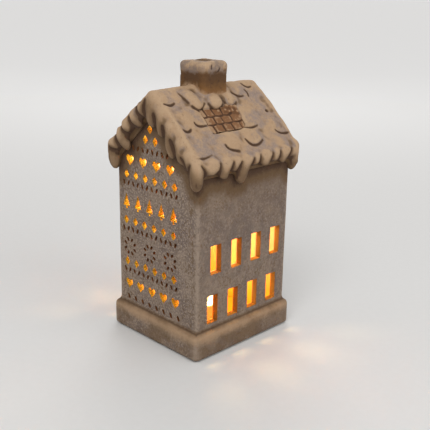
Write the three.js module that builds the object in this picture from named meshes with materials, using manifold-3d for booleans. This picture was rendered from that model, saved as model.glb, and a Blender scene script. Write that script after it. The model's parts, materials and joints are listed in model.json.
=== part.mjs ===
// Ceramic Christmas house: a slab-built lantern with a lift-off snow roof and a battery tealight inside.
// Millimetres, +Z up. X runs across the gables and Y along the ridge, and the punched gable faces -Y.
// The origin is on the table, under the middle of the house.

import * as THREE from 'three';
import { mergeVertices } from 'three/addons/utils/BufferGeometryUtils.js';
import Module from 'manifold-3d';

const wasm = await Module();
wasm.setup();

// Clay and fits
const CLAY_SEAM = 0.3; // gap between two pieces of clay
const ROOF_SEAT = 0.4; // upright gap between the walls and the roof that rests on them
const OVERCUT = 1; // how far a cutter runs past the face that it opens

// Walls
const WALL_W = 100; // across the gables
const WALL_L = 108.5; // along the ridge
const WALL_T = 6;
const WALL_H = 152; // from the underside to the eaves
const PITCH = THREE.MathUtils.degToRad(44);

// Base
const FELT_T = 1.2;
const FELT_D = 14;
const FELT_INSET = 9; // from the faces of the walls to the middle of a felt
const FLOOR_T = 6;
const PLINTH_OUT = 4.6;
const PLINTH_H = 22.5;
const PLINTH_SHOULDER = 6; // height of the rounded shoulder
const PLINTH_LIP = 0.6; // what the shoulder leaves of the plinth at its top
const PLINTH_CORNER_R = 6;

// Windows of the side walls, two rows
const WINDOW_COLUMNS = 4;
const WINDOW_W = 12;
const WINDOW_H = 24.6;
const WINDOW_RISE = 5.2; // from the top of the plinth to the lower sills
const WINDOW_ROW_GAP = 18.6;
const UPPER_ROW_SHIFT = 3; // the upper row stands nearer the rear

// Punched pattern of the front gable
const PATTERN_EDGE = 2.5; // least clay between a hole and the edge of the wall
const TEAR_W = 1.9;
const TEAR_H = 5;
const TEAR_TILT = THREE.MathUtils.degToRad(17);
const TEAR_PITCH = 6.1;
const DIAMOND_W = 6;
const DIAMOND_H = 7.6;
const DIAMOND_PITCH = 12.25;
const HEART_W = 9.4;
const HEART_H = 9.4;
const HEART_LIFT = 0.09; // share of its height that a heart sits above its row
const HEART_PITCH = 15.2;
const TOP_HEART_PITCH = 17;
const TREE_W = 8.4;
const TREE_H = 13.9;
const TREE_TRUNK_W = 2.2;
const TREE_TRUNK_H = 2.4;
const TREE_PITCH = 15.15;
const PETALS = 8;
const PETAL_W = 2;
const PETAL_H = 3.8;
const PETAL_RING_R = 6.6;
const FLOWER_PITCH = 26.3;
const VENT_W = 2.3;
const VENT_H = 5;
const VENT_PITCH = 9.36;

// Roof slabs
const SLAB_T = 7;
const SLAB_END_OUT = 0.8; // past the gables
const SLAB_EAVE_OUT = 0.6; // past the side walls

// Snow on the roof
const SNOW_T = 6.3;
const RIDGE_R = 6;
const RAKE_RAIL_T = 10; // depth of the snow edge along the gables, square to the slope
const RAKE_RAIL_W = 3.6;
const RAKE_ROUND = 1.4;
const RAKE_SWELL = 2; // how far the snow edge bows up midway down the slope
const EAVE_RAIL_OUT = 6;
const EAVE_RAIL_H = 6;
const EAVE_ROUND = 1.5;
const EAVE_BULGE = 0.5; // how far the eave's upper edge is rounded below the slope, as a share of its round
const CLUMP_R = 10; // a middling clump of snow
const CLUMP_H = 1.6;
const FINGER_R = 5; // a middling finger of snow
const FINGER_THICKNESS = 6.8;
const FINGER_BLUNTNESS = 0.6; // lower is blunter
const RAKE_REACH = 20; // from the top of the snow to the tip of a middling finger
const EAVE_REACH = 10;
const CORNER_ICICLE_R = 6.2;
const CORNER_ICICLE_DROP = 17.5;
const CORNER_ICICLE_OUT = 1.2; // from the end of the slabs to the middle of a corner icicle
const FINGER_SIDES = 8;
const FINGER_RINGS = 6;

// Bare tiles on the slopes
const TILES_W = 42; // along the ridge
const TILES_H = 24; // down the slope
const TILES_GAP = 8.2; // between the chimney and the tiles, along the slope
const TILES_SHIFT = -4.5; // towards the front
const TILES_SINK = 0.8; // below the snow
const TILE_ROWS = 3;
const TILES_PER_ROW = 4;
const TILE_GROOVE_W = 1;
const TILE_GROOVE_DEPTH = 1.2;

// Chimney
const STACK_W = 27.2;
const STACK_CORNER_R = 4;
const STACK_RISE = 8; // from the snow of the ridge to the top of the stack
const FLUE_D = 12;
const CAP_T = 11.4;
const CAP_OUT = 1.2;
const CAP_ROUND = 4;
const CAP_LOBE_R = 5;
const CAP_LOBE_DROP = 4;

// Tealight
const TEALIGHT_D = 38;
const TEALIGHT_H = 17;
const TEALIGHT_WALL = 1.2;
const TEALIGHT_TOP_DIP = 2.2; // the dish in the top
const PLASTIC_FIT = 0.3; // gap between the tealight's own pieces
const LENS_D = 12;
const LENS_BELLY_D = 13.4;
const LENS_H = 20;
const LENS_FLANGE_D = 17;
const LENS_FLANGE_T = 1;
const LED_D = 5;
const LED_FLANGE_D = 5.8;
const LED_FLANGE_T = 1;
const LED_H = 8.6;
const DOME = 0.7; // where the lamp's round end and its bore turn, as a share of their radius
const LED_PIN_W = 0.6;
const LED_PIN_PITCH = 2.54;
const CAP_PLATE_T = 1.6;
const CELL_D = 20;
const CELL_T = 3.2;
const CELL_SHIFT = -5; // the cell lies off centre, to leave room for the switch
const CONTACT_T = 0.4;
const CONTACT_W = 5;
const CONTACT_RISE = 2.4; // from the cell to the arm of the positive contact
const DOOR_MARGIN = 1.2; // round the cell
const DOOR_EAR_R = 2.8;
const DOOR_STEPS = 20; // sides of the door's round edge
const SCREW_D = 1.8;
const SCREW_HEAD_D = 3.4;
const SCREW_HEAD_T = 1;
const SCREW_L = 5;
const BOSS_WALL = 1;
const SWITCH_Y = 11.6;
const SWITCH_W = 2.4;
const SWITCH_STEM_L = 3;
const SWITCH_TRAVEL = 3;
const SWITCH_FLANGE = 1.2; // how far the knob's flange reaches past its slot
const SWITCH_FLANGE_T = 0.9;

// Heights and places that follow
const TAN = Math.tan(PITCH);
const COS = Math.cos(PITCH);
const SIN = Math.sin(PITCH);
const HALF_W = WALL_W / 2;
const HALF_L = WALL_L / 2;
const GABLE_H = WALL_H + HALF_W * TAN;
const EAVES_Z = FELT_T + WALL_H;
const ROOF_UNDER_APEX = EAVES_Z + ROOF_SEAT + HALF_W * TAN;
const SLAB_TOP_APEX = ROOF_UNDER_APEX + SLAB_T / COS;
const SNOW_UNDER_APEX = SLAB_TOP_APEX + CLAY_SEAM / COS;
const SNOW_APEX = SNOW_UNDER_APEX + SNOW_T / COS;
const RIDGE_Z = SNOW_APEX - RIDGE_R * (1 / COS - 1);
const SLAB_HALF_L = HALF_L + SLAB_END_OUT;
const SLAB_EDGE_X = HALF_W + SLAB_EAVE_OUT;
const RAIL_X = SLAB_EDGE_X + CLAY_SEAM;
const SNOW_EDGE_X = RAIL_X + EAVE_RAIL_OUT;
const RAIL_Y = SLAB_HALF_L + CLAY_SEAM;
const SLOPE_L = SLAB_EDGE_X / COS;
const STACK_TOP = RIDGE_Z + STACK_RISE;
const TILES_DOWN = STACK_W / 2 / COS + TILES_GAP + TILES_H / 2;
const FLOOR_TOP = FELT_T + FLOOR_T;
const SILL_Z = FELT_T + PLINTH_H + WINDOW_RISE;

// Finishes: colour, roughness and metalness
const finishes = {
  wall: [0x7d7264, 0.85, 0],
  inside: [0x9a5f38, 0.9, 0],
  snow: [0xa89274, 0.8, 0],
  tile: [0x7c5a3e, 0.85, 0],
  stack: [0x5d452c, 0.85, 0],
  felt: [0x3a3530, 1, 0],
  plastic: [0xece7da, 0.45, 0],
  flame: [0xffc873, 0.35, 0],
  clear: [0xf3ead2, 0.15, 0],
  steel: [0xc3c3c0, 0.3, 1],
};

function finish(name) {
  const [color, roughness, metalness] = finishes[name];
  return new THREE.MeshStandardMaterial({ color, roughness, metalness });
}

// Solids

function signedVolume(position, index) {
  const [a, b, c] = [new THREE.Vector3(), new THREE.Vector3(), new THREE.Vector3()];
  let volume = 0;
  for (let i = 0; i < index.length; i += 3) {
    a.fromBufferAttribute(position, index[i]);
    b.fromBufferAttribute(position, index[i + 1]);
    c.fromBufferAttribute(position, index[i + 2]);
    volume += a.dot(b.cross(c)) / 6;
  }
  return volume;
}

// A closed geometry as a solid that can be joined and cut
function solid(geometry) {
  const plain = geometry.clone();
  plain.deleteAttribute('normal');
  plain.deleteAttribute('uv');
  const merged = mergeVertices(plain, 1e-4);
  const position = merged.attributes.position;
  const index = merged.index.array;
  const outwards = signedVolume(position, index) > 0;
  const triangles = [];
  for (let i = 0; i < index.length; i += 3) {
    const [p, q, r] = [index[i], index[i + 1], index[i + 2]];
    const flat = p === q || q === r || r === p;
    if (!flat) triangles.push(p, ...(outwards ? [q, r] : [r, q]));
  }
  const vertProperties = new Float32Array(position.array);
  const triVerts = new Uint32Array(triangles);
  return new wasm.Manifold(new wasm.Mesh({ numProp: 3, vertProperties, triVerts }));
}

function surface(body) {
  const mesh = body.getMesh();
  const geometry = new THREE.BufferGeometry();
  geometry.setAttribute('position', new THREE.BufferAttribute(mesh.vertProperties, 3));
  geometry.setIndex(new THREE.BufferAttribute(mesh.triVerts, 1));
  geometry.computeVertexNormals();
  return geometry;
}

function joined(first, ...others) {
  return others.reduce((body, other) => body.add(solid(other)), solid(first));
}

function cut(body, ...cutters) {
  return cutters.reduce((rest, cutter) => rest.subtract(solid(cutter)), body);
}

function piece(name, body, finishName) {
  const mesh = new THREE.Mesh(surface(body), finish(finishName));
  mesh.name = name;
  return mesh;
}

// Plain shapes

function box(low, high) {
  const size = high.map((value, axis) => value - low[axis]);
  const middle = high.map((value, axis) => (value + low[axis]) / 2);
  return new THREE.BoxGeometry(...size).translate(...middle);
}

function outline(points) {
  return new THREE.Shape(points.map(([x, y]) => new THREE.Vector2(x, y)));
}

// A plan in X and Y raised along Z
function raised(shape, low, high, curveSegments = 5) {
  const options = { depth: high - low, bevelEnabled: false, curveSegments };
  return new THREE.ExtrudeGeometry(shape, options).translate(0, 0, low);
}

// A section in X and Z run along Y
function along(shape, from, to) {
  return raised(shape, -to, -from).rotateX(Math.PI / 2);
}

function disc(diameter, low, high, sides = 32) {
  const cylinder = new THREE.CylinderGeometry(diameter / 2, diameter / 2, high - low, sides);
  return cylinder.rotateX(Math.PI / 2).translate(0, 0, (low + high) / 2);
}

// A closed profile of radius and height turned about Z
function turned(profile, sides = 32) {
  const points = profile.map(([radius, height]) => new THREE.Vector2(radius, height));
  return new THREE.LatheGeometry(points, sides).rotateX(Math.PI / 2);
}

function roundedSquare(width, length, radius) {
  const [x, y] = [width / 2 - radius, length / 2 - radius];
  const shape = new THREE.Shape();
  shape.absarc(x, y, radius, 0, Math.PI / 2);
  shape.absarc(-x, y, radius, Math.PI / 2, Math.PI);
  shape.absarc(-x, -y, radius, Math.PI, 1.5 * Math.PI);
  shape.absarc(x, -y, radius, 1.5 * Math.PI, 2 * Math.PI);
  return shape;
}

// Heights of the roof's sloping faces at a distance from the ridge

function slope(apex, x) {
  return apex - Math.abs(x) * TAN;
}

// A geometry in slope terms (down the slope, along the ridge, out of the snow) set on the right slope
function onSlope(geometry) {
  return geometry.rotateY(PITCH).translate(0, 0, SNOW_APEX);
}

// Punched motifs, each a list of outline points about its middle

function oval(width, height, tilt = 0) {
  const points = [];
  for (let corner = 0; corner < 6; corner += 1) {
    const angle = Math.PI / 2 + (corner * Math.PI) / 3;
    const [x, z] = [(Math.cos(angle) * width) / 2, (Math.sin(angle) * height) / 2];
    points.push([x * Math.cos(tilt) - z * Math.sin(tilt), x * Math.sin(tilt) + z * Math.cos(tilt)]);
  }
  return points;
}

function diamond() {
  const swell = 0.56; // the sides bow out a little
  const [x, z] = [DIAMOND_W / 2, DIAMOND_H / 2];
  const bow = [[swell, swell], [-swell, swell], [-swell, -swell], [swell, -swell]];
  const tips = [[x, 0], [0, z], [-x, 0], [0, -z]];
  return tips.flatMap((tip, side) => [tip, [bow[side][0] * x, bow[side][1] * z]]);
}

function heart() {
  const steps = 16;
  const points = [];
  for (let step = 0; step < steps; step += 1) {
    const t = (step * 2 * Math.PI) / steps;
    const x = Math.sin(t) ** 3;
    const z = (13 * Math.cos(t) - 5 * Math.cos(2 * t) - 2 * Math.cos(3 * t) - Math.cos(4 * t)) / 29;
    points.push([(-x * HEART_W) / 2, (z + HEART_LIFT) * HEART_H]);
  }
  return points;
}

// A plain fir on a trunk
function tree() {
  const [foot, tip] = [-TREE_H / 2, TREE_H / 2];
  const base = foot + TREE_TRUNK_H;
  const right = [[TREE_TRUNK_W / 2, foot], [TREE_TRUNK_W / 2, base], [TREE_W / 2, base]];
  const left = right.map(([x, z]) => [-x, z]).reverse();
  return [...right, [0, tip], ...left];
}

function moved(points, x, z) {
  return points.map(([px, pz]) => [px + x, pz + z]);
}

function flower() {
  const petals = [];
  for (let petal = 0; petal < PETALS; petal += 1) {
    const turn = ((petal + 0.5) * 2 * Math.PI) / PETALS;
    const spoke = [-Math.sin(turn) * PETAL_RING_R, Math.cos(turn) * PETAL_RING_R];
    petals.push(moved(oval(PETAL_W, PETAL_H, turn), ...spoke));
  }
  return petals;
}

// The rows of the pattern: motif, its width and height, count and spacing. The middle of a row is a
// share of the half width from the middle of the wall, and a share of the gable's height up it.
const flowerSpan = 2 * PETAL_RING_R + PETAL_H;
const leaning = (width, height) => width + height * Math.sin(TEAR_TILT);
const tearAt = (place) => [oval(TEAR_W, TEAR_H, place % 2 ? -TEAR_TILT : TEAR_TILT)];
const ventAt = () => [oval(VENT_W, VENT_H, TEAR_TILT)];
const kinds = {
  diamond: { at: () => [diamond()], width: DIAMOND_W, height: DIAMOND_H, pitch: DIAMOND_PITCH },
  tear: { at: tearAt, width: leaning(TEAR_W, TEAR_H), height: TEAR_H, pitch: TEAR_PITCH },
  heart: { at: () => [heart()], width: HEART_W, height: HEART_H, pitch: HEART_PITCH },
  tree: { at: () => [tree()], width: TREE_W, height: TREE_H, pitch: TREE_PITCH },
  flower: { at: flower, width: flowerSpan, height: flowerSpan, pitch: FLOWER_PITCH },
  vent: { at: ventAt, width: leaning(VENT_W, VENT_H), height: VENT_H, pitch: VENT_PITCH },
};
const patternRows = [
  { ...kinds.diamond, count: 1, shift: -0.142, up: 0.919 },
  { ...kinds.diamond, count: 2, shift: -0.138, up: 0.873 },
  { ...kinds.tear, count: 8, shift: -0.146, up: 0.827 },
  { ...kinds.heart, count: 4, shift: -0.16, up: 0.77, pitch: TOP_HEART_PITCH },
  { ...kinds.diamond, count: 6, shift: -0.156, up: 0.708 },
  { ...kinds.tear, count: 12, shift: -0.168, up: 0.67 },
  { ...kinds.tree, count: 5, shift: -0.174, up: 0.588 },
  { ...kinds.diamond, count: 6, shift: -0.184, up: 0.503 },
  { ...kinds.tear, count: 12, shift: -0.188, up: 0.464 },
  { ...kinds.flower, count: 3, shift: -0.178, up: 0.383 },
  { ...kinds.diamond, count: 6, shift: -0.172, up: 0.311 },
  { ...kinds.tear, count: 12, shift: -0.168, up: 0.273 },
  { ...kinds.heart, count: 5, shift: -0.132, up: 0.206 },
  { ...kinds.vent, count: 8, shift: -0.1, up: 0.145 },
];

// As many copies as the row has, or as the wall is wide enough for at that height
function copiesIn(row) {
  const top = row.up * GABLE_H + row.height / 2;
  const gableHalf = (GABLE_H - top) / TAN;
  const half = Math.min(HALF_W, gableHalf) - PATTERN_EDGE - Math.abs(row.shift * HALF_W);
  const fits = Math.floor((2 * half - row.width) / row.pitch + 1e-6) + 1;
  return half * 2 < row.width ? 0 : Math.min(row.count, fits);
}

function patternCutters() {
  const cutters = [];
  for (const row of patternRows) {
    const copies = copiesIn(row);
    for (let place = 0; place < copies; place += 1) {
      const x = row.shift * HALF_W + (place - (copies - 1) / 2) * row.pitch;
      for (const motif of row.at(place)) {
        const hole = outline(moved(motif, x, FELT_T + row.up * GABLE_H));
        cutters.push(along(hole, -HALF_L - OVERCUT, -HALF_L + WALL_T + OVERCUT));
      }
    }
  }
  return cutters;
}

// Walls, floor, plinth and felts

function gableSlab() {
  const section = outline([
    [-HALF_W, FELT_T],
    [HALF_W, FELT_T],
    [HALF_W, EAVES_Z],
    [0, FELT_T + GABLE_H],
    [-HALF_W, EAVES_Z],
  ]);
  return solid(along(section, -HALF_L, -HALF_L + WALL_T));
}

function windowWall() {
  const inner = HALF_W - WALL_T;
  const halfRun = HALF_L - WALL_T - CLAY_SEAM;
  const section = outline([
    [inner, FELT_T],
    [HALF_W, FELT_T],
    [HALF_W, EAVES_Z],
    [inner, EAVES_Z + WALL_T * TAN],
  ]);
  const pitch = (WALL_L - 2 * WALL_T) / WINDOW_COLUMNS;
  const cutters = [];
  for (const [row, shift] of [[0, 0], [1, UPPER_ROW_SHIFT]]) {
    const sill = SILL_Z + row * (WINDOW_H + WINDOW_ROW_GAP);
    for (let column = 0; column < WINDOW_COLUMNS; column += 1) {
      const y = (column - (WINDOW_COLUMNS - 1) / 2) * pitch + shift;
      const low = [inner - OVERCUT, y - WINDOW_W / 2, sill];
      const high = [HALF_W + OVERCUT, y + WINDOW_W / 2, sill + WINDOW_H];
      cutters.push(box(low, high));
    }
  }
  return cut(solid(along(section, -halfRun, halfRun)), ...cutters);
}

function floorSlab() {
  const [x, y] = [HALF_W - WALL_T - CLAY_SEAM, HALF_L - WALL_T - CLAY_SEAM];
  return solid(box([-x, -y, FELT_T], [x, y, FLOOR_TOP]));
}

// The ring round the foot of the walls, with a rounded shoulder
function plinthRing() {
  const shoulder = PLINTH_OUT - PLINTH_LIP;
  const plan = roundedSquare(WALL_W + 2 * PLINTH_OUT, WALL_L + 2 * PLINTH_OUT, PLINTH_CORNER_R);
  const raisedRing = new THREE.ExtrudeGeometry(plan, {
    depth: PLINTH_H,
    bevelThickness: PLINTH_SHOULDER,
    bevelSize: shoulder,
    bevelOffset: -shoulder,
    bevelSegments: 3,
    curveSegments: 5,
  }).translate(0, 0, FELT_T - PLINTH_SHOULDER);
  const reach = [HALF_W + PLINTH_OUT + OVERCUT, HALF_L + PLINTH_OUT + OVERCUT];
  const [x, y] = [HALF_W + CLAY_SEAM, HALF_L + CLAY_SEAM];
  const below = box([-reach[0], -reach[1], FELT_T - 2 * PLINTH_SHOULDER], [...reach, FELT_T]);
  const house = box([-x, -y, FELT_T - OVERCUT], [x, y, EAVES_Z]);
  return cut(solid(raisedRing), below, house);
}

// One side of the ring, cut off square to the corners
function plinthStrip(ring, halfWall, halfAcross, turn) {
  const reach = PLINTH_OUT + OVERCUT;
  const end = halfWall - CLAY_SEAM;
  const wedge = outline([
    [-end, -halfAcross],
    [-end - reach, -halfAcross - reach],
    [end + reach, -halfAcross - reach],
    [end, -halfAcross],
  ]);
  const side = raised(wedge, FELT_T - OVERCUT, FELT_T + PLINTH_H + OVERCUT).rotateZ(turn);
  return ring.intersect(solid(side));
}

function buildHouse() {
  const house = new THREE.Group();
  const half = new THREE.Group();
  half.rotation.z = Math.PI;
  const gable = gableSlab();
  const sideWall = windowWall();
  const ring = plinthRing();
  const gableStrip = plinthStrip(ring, HALF_W, HALF_L, 0);
  const sideStrip = plinthStrip(ring, HALF_L, HALF_W, Math.PI / 2);
  house.add(piece('floor_slab', floorSlab(), 'inside'));
  house.add(piece('front_gable_wall', cut(gable, ...patternCutters()), 'wall'));
  house.add(piece('right_window_wall', sideWall, 'wall'));
  house.add(piece('plinth_front', gableStrip, 'wall'));
  house.add(piece('plinth_right', sideStrip, 'wall'));
  half.add(piece('rear_gable_wall', gable, 'wall'));
  half.add(piece('left_window_wall', sideWall, 'wall'));
  half.add(piece('plinth_rear', gableStrip, 'wall'));
  half.add(piece('plinth_left', sideStrip, 'wall'));
  house.add(half);
  const felt = solid(disc(FELT_D, 0, FELT_T, 16));
  const [x, y] = [HALF_W - FELT_INSET, HALF_L - FELT_INSET];
  const corners = { front_right: [x, -y], front_left: [-x, -y], rear_right: [x, y], rear_left: [-x, y] };
  for (const [corner, [px, py]] of Object.entries(corners)) {
    const pad = piece(`felt_${corner}`, felt, 'felt');
    pad.position.set(px, py, 0);
    house.add(pad);
  }
  return house;
}

// Roof slabs

function flueCutter(low, high) {
  return disc(FLUE_D, low, high, 16);
}

function roofSlab() {
  const seam = CLAY_SEAM / 2;
  const section = outline([
    [seam, slope(ROOF_UNDER_APEX, seam)],
    [SLAB_EDGE_X, slope(ROOF_UNDER_APEX, SLAB_EDGE_X)],
    [SLAB_EDGE_X, slope(SLAB_TOP_APEX, SLAB_EDGE_X)],
    [seam, slope(SLAB_TOP_APEX, seam)],
  ]);
  const flue = flueCutter(slope(ROOF_UNDER_APEX, FLUE_D), SLAB_TOP_APEX + OVERCUT);
  return cut(solid(along(section, -SLAB_HALF_L, SLAB_HALF_L)), flue);
}

// Points of the snow's upper line from the eave to the ridge, rounded over the ridge
function snowLine(edgeX) {
  const points = [[edgeX, slope(SNOW_APEX, edgeX)]];
  const steps = 3;
  const middle = SNOW_APEX - RIDGE_R / COS;
  for (let step = steps; step >= 0; step -= 1) {
    const angle = (PITCH * step) / steps;
    points.push([RIDGE_R * Math.sin(angle), middle + RIDGE_R * Math.cos(angle)]);
  }
  return points;
}

// The tiles' block in slope terms
function tilesSpace(clearance, top) {
  const [down, across] = [TILES_H / 2 + clearance, TILES_W / 2 + clearance];
  const low = [TILES_DOWN - down, TILES_SHIFT - across, -SNOW_T - clearance];
  const high = [TILES_DOWN + down, TILES_SHIFT + across, top];
  return [low, high];
}

function stackSpace(clearance, low, high) {
  const width = STACK_W + 2 * clearance;
  return raised(roundedSquare(width, width, STACK_CORNER_R + clearance), low, high);
}

// Soft clumps that lie on the blanket: places as shares of the slope and of half the ridge,
// half lengths and half widths in middling clumps, and heights likewise
const clumps = [
  { down: 0.298, y: -0.09, long: 0.8, wide: 0.8, high: 1.6 },
  { down: 0.27, y: -0.363, long: 0.8, wide: 0.9, high: 1.6 },
  { down: 0.285, y: 0.254, long: 0.8, wide: 0.9, high: 1.6 },
  { down: 0.626, y: 0.436, long: 1.2, wide: 1, high: 1 },
  { down: 0.845, y: 0.236, long: 1, wide: 1.2, high: 1.1 },
  { down: 0.855, y: -0.254, long: 1, wide: 1.3, high: 1 },
  { down: 0.512, y: -0.817, long: 1.1, wide: 0.9, high: 1 },
  { down: 0.185, y: -0.763, long: 1.1, wide: 1, high: 1 },
  { down: 0.768, y: 0.836, long: 1, wide: 0.9, high: 1 },
];

// A clump set on the right slope, or nothing where it would pass the edge of the snow
function clumpOnSlope({ down, y, long, wide, high }) {
  const [halfLong, halfWide] = [long * CLUMP_R, wide * CLUMP_R];
  const [run, across] = [down * SLOPE_L, y * SLAB_HALF_L];
  if (run + halfLong > SLOPE_L || Math.abs(across) + halfWide > SLAB_HALF_L) return [];
  const ball = new THREE.SphereGeometry(1, 10, 6).rotateX(Math.PI / 2);
  return [onSlope(ball.scale(halfLong, halfWide, high * CLUMP_H).translate(run, across, -CLAY_SEAM))];
}

function snowBlanket() {
  const seam = CLAY_SEAM / 2;
  const [ridge, ...rest] = snowLine(SLAB_EDGE_X).reverse();
  const section = outline([
    [seam, slope(SNOW_UNDER_APEX, seam)],
    [SLAB_EDGE_X, slope(SNOW_UNDER_APEX, SLAB_EDGE_X)],
    ...rest.reverse(),
    [seam, ridge[1]],
  ]);
  const soft = clumps.flatMap(clumpOnSlope);
  const sheet = solid(along(section, -SLAB_HALF_L, SLAB_HALF_L));
  const bare = onSlope(box(...tilesSpace(CLAY_SEAM, OVERCUT)));
  const blanket = soft.reduce((body, clump) => body.add(solid(clump)), cut(sheet, bare));
  const tilesTop = onSlope(box(...tilesSpace(CLAY_SEAM, CLAY_SEAM - TILES_SINK)));
  const chimney = stackSpace(CLAY_SEAM, 0, SNOW_APEX + STACK_RISE);
  return cut(blanket, tilesTop, chimney);
}

function tiles() {
  const [low, high] = tilesSpace(0, -TILES_SINK);
  const plate = solid(box(low, high));
  const floor = high[2] - TILE_GROOVE_DEPTH;
  const top = high[2] + OVERCUT;
  const [rowH, tileW] = [TILES_H / TILE_ROWS, TILES_W / TILES_PER_ROW];
  const grooves = [];
  for (let row = 0; row < TILE_ROWS; row += 1) {
    const start = low[0] + row * rowH;
    if (row > 0) {
      const [from, to] = [start - TILE_GROOVE_W / 2, start + TILE_GROOVE_W / 2];
      grooves.push(box([from, low[1] - OVERCUT, floor], [to, high[1] + OVERCUT, top]));
    }
    const offset = row % 2 ? 1 : 0.5;
    for (let joint = offset; joint < TILES_PER_ROW; joint += 1) {
      const y = low[1] + joint * tileW;
      const from = row > 0 ? start : start - OVERCUT;
      const to = row < TILE_ROWS - 1 ? start + rowH : start + rowH + OVERCUT;
      grooves.push(box([from, y - TILE_GROOVE_W / 2, floor], [to, y + TILE_GROOVE_W / 2, top]));
    }
  }
  return cut(plate, ...grooves);
}

// A finger of snow hanging from its root at the origin, thick along the second axis
function finger(radius, drop, thickness) {
  const profile = [];
  for (let ring = 0; ring <= FINGER_RINGS; ring += 1) {
    const angle = -Math.PI / 2 + (Math.PI * ring) / FINGER_RINGS;
    const atPole = ring === 0 || ring === FINGER_RINGS;
    const width = atPole ? 0 : radius * Math.cos(angle) ** FINGER_BLUNTNESS;
    profile.push([width, Math.sin(angle) * (angle < 0 ? drop : radius)]);
  }
  return turned(profile, FINGER_SIDES).scale(1, thickness / (2 * radius), 1);
}

// Fingers along the gables, each from the snow's upper line down: share of the way from the ridge to the
// eave, radius in middling fingers, length in middling reaches, lean towards the middle of the gable.
// The finger under the ridge belongs to both sides.
const rightRakeFingers = [
  { out: 0, r: 1.12, reach: 1.6, lean: -0.1 },
  { out: 0.185, r: 1.2, reach: 1.42, lean: -0.11 },
  { out: 0.375, r: 1.16, reach: 1.66, lean: -0.13 },
  { out: 0.572, r: 1.2, reach: 1.09, lean: -0.18 },
  { out: 0.74, r: 1.1, reach: 1, lean: -0.15 },
];
const leftRakeFingers = [
  { out: 0, r: 1.12, reach: 1.6, lean: 0.1 },
  { out: 0.223, r: 1, reach: 0.68, lean: 0.33 },
  { out: 0.402, r: 1.12, reach: 0.78, lean: 0.58 },
  { out: 0.57, r: 1.12, reach: 0.5, lean: 0.3 },
  { out: 0.74, r: 1.2, reach: 0.98, lean: 0.66 },
  { out: 0.87, r: 0.94, reach: 0.58, lean: 0.57 },
];

function rakeFinger({ out, r, reach, lean }, side) {
  const [x, radius] = [out * SNOW_EDGE_X, r * FINGER_R];
  const root = radius / Math.cos(PITCH - lean);
  const hanging = finger(radius, reach * RAKE_REACH - root, FINGER_THICKNESS).translate(0, 0, -root);
  hanging.rotateY(side * lean);
  return hanging.translate(side * x, CLAY_SEAM - RAIL_Y - FINGER_THICKNESS / 2, slope(SNOW_APEX, x));
}

function cornerIcicle(side) {
  const [x, y] = [SNOW_EDGE_X - CORNER_ICICLE_R - CLAY_SEAM, RAIL_Y + CORNER_ICICLE_OUT];
  const root = slope(SNOW_APEX, x) - CORNER_ICICLE_R;
  const hanging = finger(CORNER_ICICLE_R, CORNER_ICICLE_DROP, 2 * CORNER_ICICLE_R);
  return hanging.translate(side * x, -y, root);
}

// The snow's upper line, bowed up between the eave and the ridge
function rakeLine() {
  const [edge, start, ...ridge] = snowLine(SNOW_EDGE_X);
  const steps = 5;
  const bow = [];
  for (let step = 1; step < steps; step += 1) {
    const share = step / steps;
    const out = RAKE_SWELL * Math.sin(Math.PI * share);
    const x = THREE.MathUtils.lerp(edge[0], start[0], share);
    const z = THREE.MathUtils.lerp(edge[1], start[1], share);
    bow.push([x + out * SIN, z + out * COS]);
  }
  return [edge, ...bow, start, ...ridge];
}

// The snow's edge over both slopes of a gable end, with rounded front edges
function rakeChevron() {
  const upper = rakeLine();
  const under = [[SNOW_EDGE_X, slope(SNOW_APEX - RAKE_RAIL_T / COS, SNOW_EDGE_X)]];
  const right = [...under, ...upper.slice(0, -1)];
  const left = right.map(([x, z]) => [-x, z]).reverse();
  const top = upper[upper.length - 1];
  const notch = [0, SNOW_APEX - RAKE_RAIL_T / COS];
  const depth = 2 * RAKE_RAIL_W;
  const bar = new THREE.ExtrudeGeometry(outline([...right, top, ...left, notch]), {
    depth: depth - 2 * RAKE_ROUND,
    bevelThickness: RAKE_ROUND,
    bevelSize: RAKE_ROUND,
    bevelOffset: -RAKE_ROUND,
    bevelSegments: 2,
  });
  return bar.rotateX(Math.PI / 2).translate(0, -RAIL_Y - RAKE_RAIL_W + depth - RAKE_ROUND, 0);
}

function rakeIcicles(fingers, side) {
  const room = SNOW_EDGE_X - CORNER_ICICLE_R;
  const kept = fingers.filter(({ out }) => out * SNOW_EDGE_X < room);
  const hanging = kept.map((entry) => rakeFinger(entry, side));
  const row = joined(rakeChevron(), ...hanging, cornerIcicle(side));
  const far = 2 * WALL_L;
  const seam = (side * CLAY_SEAM) / 2;
  const [near, end] = side > 0 ? [seam, far] : [-far, seam];
  return row.intersect(solid(box([near, -far, 0], [end, -RAIL_Y, 2 * far])));
}

// Fingers along the eaves: share of half the ridge, radius in middling fingers,
// drop below the eave in middling reaches, lean
const eaveFingers = [
  { y: -0.8, r: 1.6, reach: 0.85, lean: 0 },
  { y: -0.525, r: 1.4, reach: 1.4, lean: 0.25 },
  { y: -0.3, r: 0.9, reach: 1, lean: 0.1 },
  { y: -0.095, r: 1.3, reach: 2.2, lean: 0.38 },
  { y: 0.125, r: 0.9, reach: 0.75, lean: 0 },
  { y: 0.34, r: 1.45, reach: 1, lean: 0.08 },
  { y: 0.56, r: 1.06, reach: 0.8, lean: 0.1 },
  { y: 0.775, r: 1.22, reach: 1.15, lean: 0.4 },
];

function eaveFinger({ y, r, reach, lean }, edge) {
  const radius = r * FINGER_R;
  const thickness = SNOW_EDGE_X - RAIL_X;
  const root = edge - radius / 2;
  const drop = reach * EAVE_REACH - (edge - root);
  const hanging = finger(radius, drop, thickness).rotateZ(Math.PI / 2).rotateX(-lean);
  return hanging.translate(RAIL_X + thickness / 2, y * SLAB_HALF_L, root);
}

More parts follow.
